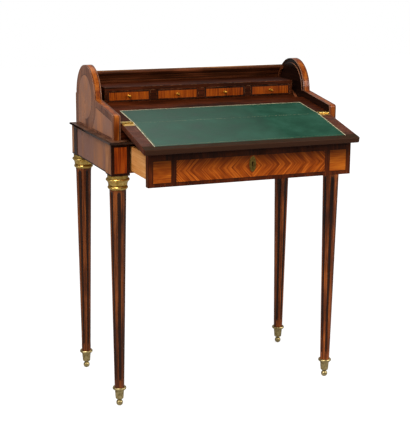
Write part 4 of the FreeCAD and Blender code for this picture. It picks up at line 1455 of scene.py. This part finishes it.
@dataclass
class Cheeks:
    """The two arched cheeks and the boards that close the back; the arris is in millimetres."""

    shop: Workshop
    arch: tuple[float, float]
    arris: float = 0.8
    coat: float = 0.15
    plain: tuple[Dress, ...] = (("back_board", "carcass", 0.6), ("curved_back", "carcass", 0.4))

    def build(self) -> None:
        """Dresses the cheeks, the back board and the curved back."""
        for side in Side:
            node = "cheek_" + side.name.lower()
            low, high = self.shop.corners(node)
            look = CheekVeneer(node + "_veneer", SIDE_BAND, side=side, arch=self.arch, low=low, high=high,
                               coat=self.coat)
            self.shop.softened(node, look.paint(), self.arris)
        self.shop.dress(*self.plain)


@dataclass
class Lid:
    """The rigid slatted lid, its end frames and pins; lengths in millimetres, turns in degrees."""

    shop: Workshop
    arch: tuple[float, float]
    slats: int = 12
    first_turn: float = 41.6
    last_turn: float = 174.0
    outer: float = 81.5
    inner: float = 74.0
    joint: float = 0.5
    edge: float = 0.9
    edge_points: int = 3
    crease: float = 40.0
    ends: tuple[Dress, ...] = (("lid_end_left", "lid", 0.4), ("lid_end_right", "lid", 0.4))
    fork_arris: float = 0.3

    def build(self) -> None:
        """Dresses the lid."""
        steel = self.shop.shared["steel"]
        self.slat_row()
        self.shop.dress(*self.ends)
        self.shop.turned("lid_pins", steel)
        self.shop.softened("lid_forks", steel, self.fork_arris)

    def slat_row(self) -> None:
        """The slats: one rounded bar on a line, set round the lid's axis."""
        low, high = self.shop.corners("lid_slats")
        half = math.radians((self.last_turn - self.first_turn) / self.slats / 2)
        face = self.outer * math.cos(half)
        tree = Growth("lid_slat_row", Slats=self.slats, Low_X=low[0], High_X=high[0], Axis_Y=self.arch[0],
                      Axis_Z=self.arch[1], First_Turn=math.radians(self.first_turn) + half, Pitch=2 * half,
                      Middle_Radius=(face + self.inner) / 2 * MM, Thickness=(face - self.inner) * MM,
                      Outer_Width=(2 * self.outer * math.sin(half) - self.joint) * MM,
                      Inner_Width=(2 * self.inner * math.tan(half) - self.joint) * MM, Edge=self.edge * MM)
        size, add = tree.size, tree.sum
        plan = tree.put("GeometryNodeCurvePrimitiveQuadrilateral", ("Height", size["Thickness"]),
                        ("Bottom Width", size["Inner_Width"]), ("Top Width", size["Outer_Width"]),
                        ("Offset", 0.0), mode="TRAPEZOID").outputs[0]
        plan = tree.put("GeometryNodeFilletCurve", ("Curve", plan), ("Radius", size["Edge"]),
                        ("Count", self.edge_points), ("Limit Radius", True), mode="POLY").outputs[0]
        line = tree.put("GeometryNodeCurvePrimitiveLine", ("Start", tree.join(size["Low_X"])),
                        ("End", tree.join(size["High_X"]))).outputs[0]
        bar = tree.put("GeometryNodeCurveToMesh", ("Curve", line), ("Profile Curve", plan),
                       ("Fill Caps", True)).outputs[0]
        points = tree.put("GeometryNodePoints", ("Count", size["Slats"])).outputs[0]
        number = tree.put("GeometryNodeInputIndex").outputs[0]
        turn = add("MULTIPLY_ADD", number, size["Pitch"], size["First_Turn"])
        seat = tree.join(0.0, add("MULTIPLY_ADD", add("SINE", turn), size["Middle_Radius"], size["Axis_Y"]),
                         add("MULTIPLY_ADD", add("COSINE", turn), size["Middle_Radius"], size["Axis_Z"]))
        lean = tree.rotation(x=add("MULTIPLY", turn, -1.0))
        row = tree.repeated(tree.set_at(points, seat), bar, ("Rotation", lean))
        mesh = Workshop.smooth(tree.grow(row, self.shop.shared["lid"]), self.crease)
        self.shop.place("lid_slats_piece", mesh, self.shop.shared["lid"], "lid_slats")


@dataclass
class Screws:
    """The slotted screw heads in a pair of hinge leaves; lengths in millimetres."""

    shop: Workshop
    count: int = 3
    pitch: float = 9.0
    radius: float = 2.1
    height: float = 0.7
    slot: float = 0.5
    proud: float = -0.2
    sides: int = 24
    crease: float = 30.0

    def build(self, node: str, seed: int) -> None:
        """A row of heads on each leaf, each turned by chance.

        Args:
            node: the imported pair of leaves.
            seed: of their turns.
        """
        work = self.shop.merged(node)
        work.normal_update()
        leaf = max((face for face in work.faces if face.calc_center_median().x > 0),
                   key=lambda face: face.calc_area() * (face.normal.z > 0.5))
        middle, lean = leaf.calc_center_median(), math.atan2(-leaf.normal.y, leaf.normal.z)
        work.free()
        tree = Growth(node + "_screws", Count=self.count, Pitch=self.pitch * MM, Radius=self.radius * MM,
                      Height=self.height * MM, Slot=self.slot * MM, Proud=self.proud * MM,
                      X=middle.x, Y=middle.y, Z=middle.z, Lean=lean, Seed=seed)
        size, add = tree.size, tree.sum
        head = tree.disc(self.sides, size["Radius"], size["Height"])
        block = tree.join(add("MULTIPLY", size["Radius"], 3.0), size["Slot"], size["Slot"])
        blade = tree.put("GeometryNodeMeshCube", (0, block)).outputs["Mesh"]
        blade = tree.moved(blade, tree.join(z=add("DIVIDE", size["Height"], 2.0)))
        head = tree.put("GeometryNodeMeshBoolean", ("Mesh 1", head), ("Mesh 2", blade),
                        operation="DIFFERENCE").outputs[0]
        number = tree.put("GeometryNodeInputIndex").outputs[0]
        from_middle = add("SUBTRACT", number, add("DIVIDE", add("SUBTRACT", size["Count"], 1.0), 2.0))
        spot = tree.join(add("MULTIPLY", from_middle, size["Pitch"]))
        points = tree.put("GeometryNodePoints", ("Count", size["Count"]), ("Position", spot)).outputs[0]
        chance = tree.put("FunctionNodeRandomValue", (2, 0.0), (3, math.tau), ("ID", number),
                          ("Seed", size["Seed"]), data_type="FLOAT").outputs[1]
        row = tree.repeated(points, head, ("Rotation", tree.rotation(z=chance)))
        row = tree.moved(row, tree.join(z=size["Proud"]))
        lean_by = tree.rotation(x=size["Lean"])
        both = tree.put("GeometryNodeJoinGeometry")
        for side in Side:
            seat = tree.join(add("MULTIPLY", size["X"], side.value), size["Y"], size["Z"])
            tree.tree.links.new(tree.moved(row, seat, ("Rotation", lean_by)), both.inputs[0])
        brass = self.shop.shared["brass"]
        mesh = Workshop.smooth(tree.grow(both.outputs[0], brass), self.crease)
        self.shop.place(node + "_screws", mesh, brass, body=self.shop.body_of[node], slot="brass")


@dataclass
class LeatherSheet:
    """A glued sheet of leather with a rounded rim and small gilt stamps; lengths in millimetres.

    Where fold_behind is set the fold is at the sheet's rear edge, otherwise at its front one.
    """

    shop: Workshop
    node: str
    fold_behind: bool
    columns: int = 80
    rows: int = 40
    rim: float = 0.9
    rim_steps: int = 3
    rim_fall: float = 0.6
    stamp_inset: float = 5.5
    stamp_pitch: float = 3.2
    stamp: float = 0.75
    stamp_height: float = 0.12
    stamp_sides: int = 4

    def build(self, leather: bpy.types.Material, gilt: bpy.types.Material) -> None:
        """Lays the sheet and sets its stamps.

        Args:
            leather: the sheet's material.
            gilt: the stamps' material.
        """
        work = self.shop.merged(self.node)
        work.normal_update()
        top = max(work.faces, key=lambda face: face.calc_area() * (face.normal.z > 0))
        points = [v.co.copy() for v in top.verts]
        up = top.normal.copy()
        thick = max((points[0] - v.co).dot(up) for v in work.verts)
        work.free()
        self.lay(points, up, thick, leather)
        self.tool(points, up, gilt)

    def lay(self, points: Sequence[Vector], up: Vector, thick: float, finish: bpy.types.Material) -> None:
        """The sheet itself; each point knows how far the outer edge and the fold are.

        Args:
            points: the corners of its top face.
            up: the way that face looks.
            thick: the sheet's thickness, in metres.
            finish: its material.
        """
        left = sorted((p for p in points if p.x < 0), key=lambda p: p.y)
        right = sorted((p for p in points if p.x > 0), key=lambda p: p.y)
        front_left, rear_left, front_right = left[0], left[-1], right[0]
        width = (front_right - front_left).length
        depth = (rear_left - front_left).length
        wide = self.steps(width, self.columns)
        deep = self.steps(depth, self.rows)
        along = (front_right - front_left).normalized()
        back = (rear_left - front_left).normalized()
        mesh = bmesh.new()
        edge_layer = mesh.verts.layers.float.new("from_edge")
        fold_layer = mesh.verts.layers.float.new("from_fold")
        grid = []
        for y in deep:
            row = []
            for x in wide:
                drop = self.fall(min(x, y, width - x, depth - y), thick)
                point = mesh.verts.new(front_left + along * x + back * y - up * drop)
                point[edge_layer] = min(x, width - x, width if self.fold_behind else depth - y)
                point[fold_layer] = depth - y if self.fold_behind else y
                row.append(point)
            grid.append(row)
        for first, second in zip(grid, grid[1:]):
            for i in range(len(wide) - 1):
                face = mesh.faces.new((first[i], first[i + 1], second[i + 1], second[i]))
                face.smooth = True
        ring = [*grid[0], *[row[-1] for row in grid[1:]], *reversed(grid[-1][:-1]),
                *[row[0] for row in reversed(grid[1:-1])]]
        drop = self.fall(0, thick) - thick
        low = [mesh.verts.new(point.co + up * drop) for point in ring]
        count = len(ring)
        for i in range(count):
            mesh.faces.new((ring[i], low[i], low[(i + 1) % count], ring[(i + 1) % count]))
        mesh.faces.new(list(reversed(low)))
        bmesh.ops.recalc_face_normals(mesh, faces=mesh.faces)
        self.shop.place(self.node + "_sheet", Workshop.closed(mesh, self.node + "_sheet"), finish, self.node)

    def steps(self, length: float, count: int) -> list[float]:
        """Places along a side, closer together at its two rims.

        Args:
            length: the side's length, in metres.
            count: how many steps go between the rims.

        Returns:
            The places from nought to the length.
        """
        rim = self.rim * MM
        edge = [rim * i / self.rim_steps for i in range(self.rim_steps)]
        middle = [rim + (length - 2 * rim) * i / count for i in range(count + 1)]
        return [*edge, *middle, *[length - e for e in reversed(edge)]]

    def fall(self, near: float, thick: float) -> float:
        """How far the top falls at a distance from its edge.

        Args:
            near: the distance, in metres.
            thick: the sheet's thickness, in metres.

        Returns:
            The fall, in metres.
        """
        rim = self.rim * MM
        if near >= rim:
            return 0.0
        return thick * self.rim_fall * (1 - math.sqrt(max(0.0, 1 - (1 - near / rim) ** 2)))

    def tool(self, points: Sequence[Vector], up: Vector, finish: bpy.types.Material) -> None:
        """Stamps set out evenly on a line inside the outer edges, none at the fold.

        Args:
            points: the corners of the sheet's top face.
            up: the way that face looks.
            finish: the stamps' material.
        """
        middle = sum(points, Vector()) / len(points)
        wide = max(p.x for p in points) - min(p.x for p in points)
        deep = max((p - q).length for p in points for q in points if abs(p.x - q.x) < MM)
        tree = Growth(self.node + "_tooling", Width=wide - 2 * self.stamp_inset * MM,
                      Depth=deep - 2 * self.stamp_inset * MM, Spacing=self.stamp_pitch * MM,
                      Size=self.stamp * MM, Height=self.stamp_height * MM, X=middle.x, Y=middle.y, Z=middle.z,
                      Lean=math.atan2(-up.y, up.z), Fold=1.0 if self.fold_behind else -1.0)
        size, add = tree.size, tree.sum
        sheet = tree.put("GeometryNodeMeshGrid", ("Size X", size["Width"]), ("Size Y", size["Depth"]),
                         ("Vertices X", 2), ("Vertices Y", 2)).outputs["Mesh"]
        line = tree.put("GeometryNodeMeshToCurve", ("Mesh", sheet)).outputs[0]
        line = tree.put("GeometryNodeResampleCurve", ("Curve", line), ("Length", size["Spacing"]),
                        mode="LENGTH").outputs[0]
        stamp = tree.disc(self.stamp_sides, size["Size"], size["Height"])
        _, y, _ = tree.split(tree.put("GeometryNodeInputPosition").outputs[0])
        last = add("MULTIPLY_ADD", size["Depth"], 0.5, add("MULTIPLY", size["Spacing"], -0.5))
        kept = add("LESS_THAN", add("MULTIPLY", y, size["Fold"]), last)
        row = tree.repeated(line, stamp, ("Selection", kept))
        seat = tree.join(size["X"], size["Y"], size["Z"])
        row = tree.moved(row, seat, ("Rotation", tree.rotation(x=size["Lean"])))
        self.shop.place(self.node + "_tooling", tree.grow(row, finish), finish,
                        body=self.shop.body_of[self.node], slot="brass")


@dataclass
class WritingSlope:
    """The fixed writing board, the folding flap, their leather and hinges; the arris is in millimetres."""

    shop: Workshop
    leaf_arris: float = 0.25
    gilt: Metal = Metal("gilt_tooling", "C9B27A", "A08A58", "5A4A2C", rough=0.4, tarnish=0.5)
    boards: tuple[Dress, ...] = (("writing_board", "slab", 0.7), ("hinge_board", "slab", 0.5),
                                 ("flap_board", "board", 1.3))

    def build(self) -> None:
        """Dresses boards, leather and hinges."""
        self.shop.dress(*self.boards)
        leather = Leather().paint()
        gilt = self.gilt.paint()
        LeatherSheet(self.shop, "writing_board_leather", False).build(leather, gilt)
        LeatherSheet(self.shop, "flap_leather", True).build(leather, gilt)
        for number, node in enumerate(("hinge_leaves_fixed", "hinge_leaves_flap")):
            self.shop.softened(node, self.shop.shared["brass"], self.leaf_arris)
            Screws(self.shop).build(node, number)
        self.shop.turned("hinge_pins", self.shop.shared["steel"])


@dataclass
class Nest:
    """The nest that holds the small drawers, and the drawers; lengths in millimetres."""

    shop: Workshop
    drawers: int = 4
    front_border: float = 5.0
    top_border: float = 4.0
    end_border: float = -5.0
    line: float = 0.6
    front_arris: float = 0.6
    box_arris: float = 0.4
    seed: float = 2.3
    plain: tuple[Dress, ...] = (("nest_base", "dark", 0.5), ("nest_shelf", "dark", 0.5),
                                ("nest_uprights", "dark", 0.5), ("nest_back", "dark", 0.5),
                                ("nest_bearers", "carcass", 0.6))

    def build(self) -> None:
        """Dresses the nest and its four drawers."""
        self.shop.dress(*self.plain)
        for number in range(1, self.drawers + 1):
            self.drawer(number)

    def drawer(self, number: int) -> None:
        """One small drawer: veneered front, box and knob.

        Args:
            number: from one at the left.
        """
        name = f"small_drawer_{number}"
        low, high = self.shop.corners(name + "_front")
        look = PanelVeneer(name + "_veneer", ROSEWOOD, low=low, high=high, inset_x=self.front_border,
                           inset_y=self.end_border, inset_z=self.top_border, sheet=SMALL_SHEET,
                           seed=number * self.seed, line_width=self.line)
        self.shop.softened(name + "_front", look.paint(), self.front_arris)
        self.shop.softened(name + "_box", self.shop.shared["drawer"], self.box_arris)
        self.shop.turned(name + "_knob", self.shop.shared["knob"])


@dataclass
class MainDrawer:
    """The main drawer with its marquetry front, escutcheon and lock; lengths in millimetres."""

    shop: Workshop
    front_arris: float = 0.8
    plate_arris: float = 0.45
    plate_segments: int = 3
    box: tuple[Dress, ...] = (("drawer_sides", "drawer", 0.7), ("drawer_bottom", "drawer", 0.7),
                              ("drawer_back", "drawer", 0.7))
    lock: tuple[Dress, ...] = (("lock_case", "steel", 0.4), ("lock_bolt", "steel", 0.3))

    def build(self) -> None:
        """Dresses the drawer."""
        low, high = self.shop.corners("drawer_front")
        look = ChevronVeneer("drawer_front_veneer", DRAWER_BAND, low=low, high=high)
        self.shop.softened("drawer_front", look.paint(), self.front_arris)
        self.shop.dress(*self.box)
        self.shop.softened("escutcheon", self.shop.shared["plate"], self.plate_arris, self.plate_segments)
        self.shop.dress(*self.lock)


@dataclass(frozen=True)
class Lamp:
    """A square soft lamp: where it hangs and what it points at, its side in metres, its power in watts."""

    name: str
    place: Triple
    target: Triple
    side: float
    power: float

    def hang(self) -> None:
        """Puts the lamp into the scene."""
        data = bpy.data.lights.new(self.name, "AREA")
        data.size = self.side
        data.energy = self.power
        lamp = stand(self.name, data)
        lamp.location = self.place
        lamp.rotation_mode = "QUATERNION"
        lamp.rotation_quaternion = (Vector(self.target) - Vector(self.place)).to_track_quat("-Z", "Y")


@dataclass
class Studio:
    """White floor and surround, soft light and the camera; lengths in metres, turns in degrees.

    The focal length and the photograph's long side are in its pixels, the sensor in millimetres.
    """

    eye: Triple = (-1.22687, -2.93242, 1.22917)
    yaw: float = -22.17
    pitch: float = -13.26
    roll: float = 0.51
    focal: float = 1188.51
    long_side: int = 430
    sensor: float = 36.0
    floor_half: float = 8.0
    floor_grey: float = 0.3
    floor_mirrored: float = 0.12
    near_floor: float = 1.5
    far_floor: float = 3.5
    near_glow: float = 0.85
    far_glow: float = 1.0
    ambient: float = 0.32
    room: float = 0.16
    sweep: float = 0.36
    sweep_way: Triple = (0.37, 0.93, 0.0)
    sweep_edge: float = 0.45
    sweep_core: float = 0.85
    lamps: tuple[Lamp, ...] = (
        Lamp("key", (-1.4, -1.55, 3.1), (0, -0.05, 0.7), 1.3, 84.0),
        Lamp("fill", (1.9, -2.4, 1.9), (0, 0, 0.6), 1.0, 32.0),
        Lamp("side", (-3.2, -0.9, 1.5), (-0.3, 0.05, 0.6), 1.4, 24.0),
        Lamp("right", (2.8, -1.1, 1.5), (0.3, 0, 0.6), 0.8, 32.0),
        Lamp("top", (0.3, 1.2, 2.6), (0, 0.05, 0.75), 1.4, 8.0),
    )

    def build(self) -> None:
        """Sets up camera, floor, surround and lamps."""
        self.camera()
        self.floor()
        self.surround()
        for lamp in self.lamps:
            lamp.hang()
        bpy.context.scene.view_settings.view_transform = "Standard"

    def camera(self) -> None:
        """Sets the camera at the place and angle that the photograph was taken from."""
        yaw, pitch, roll = (math.radians(v) for v in (self.yaw, self.pitch, self.roll))
        ahead = Vector((-math.sin(yaw) * math.cos(pitch), math.cos(yaw) * math.cos(pitch), math.sin(pitch)))
        right = ahead.cross(Vector((0, 0, 1))).normalized()
        up = right.cross(ahead)
        tilted_right = right * math.cos(roll) + up * math.sin(roll)
        tilted_up = up * math.cos(roll) - right * math.sin(roll)
        data = bpy.data.cameras.new("camera")
        data.sensor_width = self.sensor
        data.lens = self.focal / self.long_side * self.sensor
        camera = stand("camera", data)
        turn = Matrix((tilted_right, tilted_up, -ahead)).transposed()
        camera.matrix_world = Matrix.Translation(self.eye) @ turn.to_4x4()
        bpy.context.scene.camera = camera

    def floor(self) -> None:
        """Lays a floor that shows white and still takes the desk's shadow."""
        half = self.floor_half
        corners = [(-half, -half, 0), (half, -half, 0), (half, half, 0), (-half, half, 0)]
        mesh = bpy.data.meshes.new("floor")
        mesh.from_pydata(corners, [], [(0, 1, 2, 3)])
        material = bpy.data.materials.new("floor_white")
        material.use_nodes = True
        tree = Tree(material.node_tree)
        grey = (self.floor_grey, self.floor_grey, self.floor_grey, 1.0)
        diffuse = tree.put("ShaderNodeBsdfDiffuse", (0, grey))
        spot = tree.put("ShaderNodeNewGeometry").outputs["Position"]
        away = tree.put("ShaderNodeVectorMath", (0, spot), operation="LENGTH").outputs["Value"]
        shown = tree.spread(away, self.near_floor, self.far_floor, self.near_glow, self.far_glow)
        strength = self.seen(tree, shown, self.floor_mirrored, 0.0)
        glow = tree.put("ShaderNodeEmission", (0, WHITE), (1, strength))
        both = tree.put("ShaderNodeAddShader", (0, diffuse.outputs[0]), (1, glow.outputs[0]))
        tree.put("ShaderNodeOutputMaterial", (0, both.outputs[0]))
        mesh.materials.append(material)
        floor = stand("floor", mesh)

    def surround(self) -> None:
        """White where it is looked at; dim as a light and in polish, where one side of it is brighter."""
        world = bpy.data.worlds.new("surround")
        world.use_nodes = True
        tree = Tree(world.node_tree)
        way = tree.put("ShaderNodeTexCoord").outputs["Generated"]
        ahead = tree.put("ShaderNodeVectorMath", (0, way), (1, self.sweep_way), operation="DOT_PRODUCT")
        sweep = tree.spread(ahead.outputs["Value"], self.sweep_edge, self.sweep_core, self.room, self.sweep,
                            "SMOOTHSTEP")
        light = tree.put("ShaderNodeBackground", (0, WHITE), (1, self.seen(tree, 1.0, sweep, self.ambient)))
        tree.put("ShaderNodeOutputWorld", (0, light.outputs[0]))
        bpy.context.scene.world = world

    @staticmethod
    def seen(tree: Tree, shown: Wire, mirrored: Wire, otherwise: float) -> Socket:
        """A strength for what is looked at, one for what metal and polish mirror, and one for the rest.

        Args:
            tree: the tree.
            shown: the strength for camera and transmission rays.
            mirrored: the strength for glossy rays.
            otherwise: the strength for other rays.

        Returns:
            The strength's socket.
        """
        path = tree.put("ShaderNodeLightPath").outputs
        straight = tree.sum("MAXIMUM", path["Is Camera Ray"], path["Is Transmission Ray"])
        base = tree.choose(path["Is Glossy Ray"], otherwise, mirrored)
        return tree.choose(straight, base, shown)


def main() -> None:
    """Builds the desk's pieces in order, then the studio round them."""
    for stray in [o for o in bpy.data.objects if not o.name.startswith("body:") and "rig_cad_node" not in o]:
        bpy.data.objects.remove(stray)
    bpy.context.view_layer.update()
    joints = {joint["name"]: joint for joint in frame["joints"]}
    arch = tuple(joints["lid_turn"]["pos_m"][1:])
    shop = Workshop(frame["nodes"], frame["record"])
    shop.shared = Finishes().made()
    for part in (Legs(shop), Frieze(shop), Cheeks(shop, arch), Lid(shop, arch), WritingSlope(shop),
                 Nest(shop), MainDrawer(shop), Studio()):
        log.info("building %s", type(part).__name__)
        part.build()


if __name__ == "__main__":
    main()
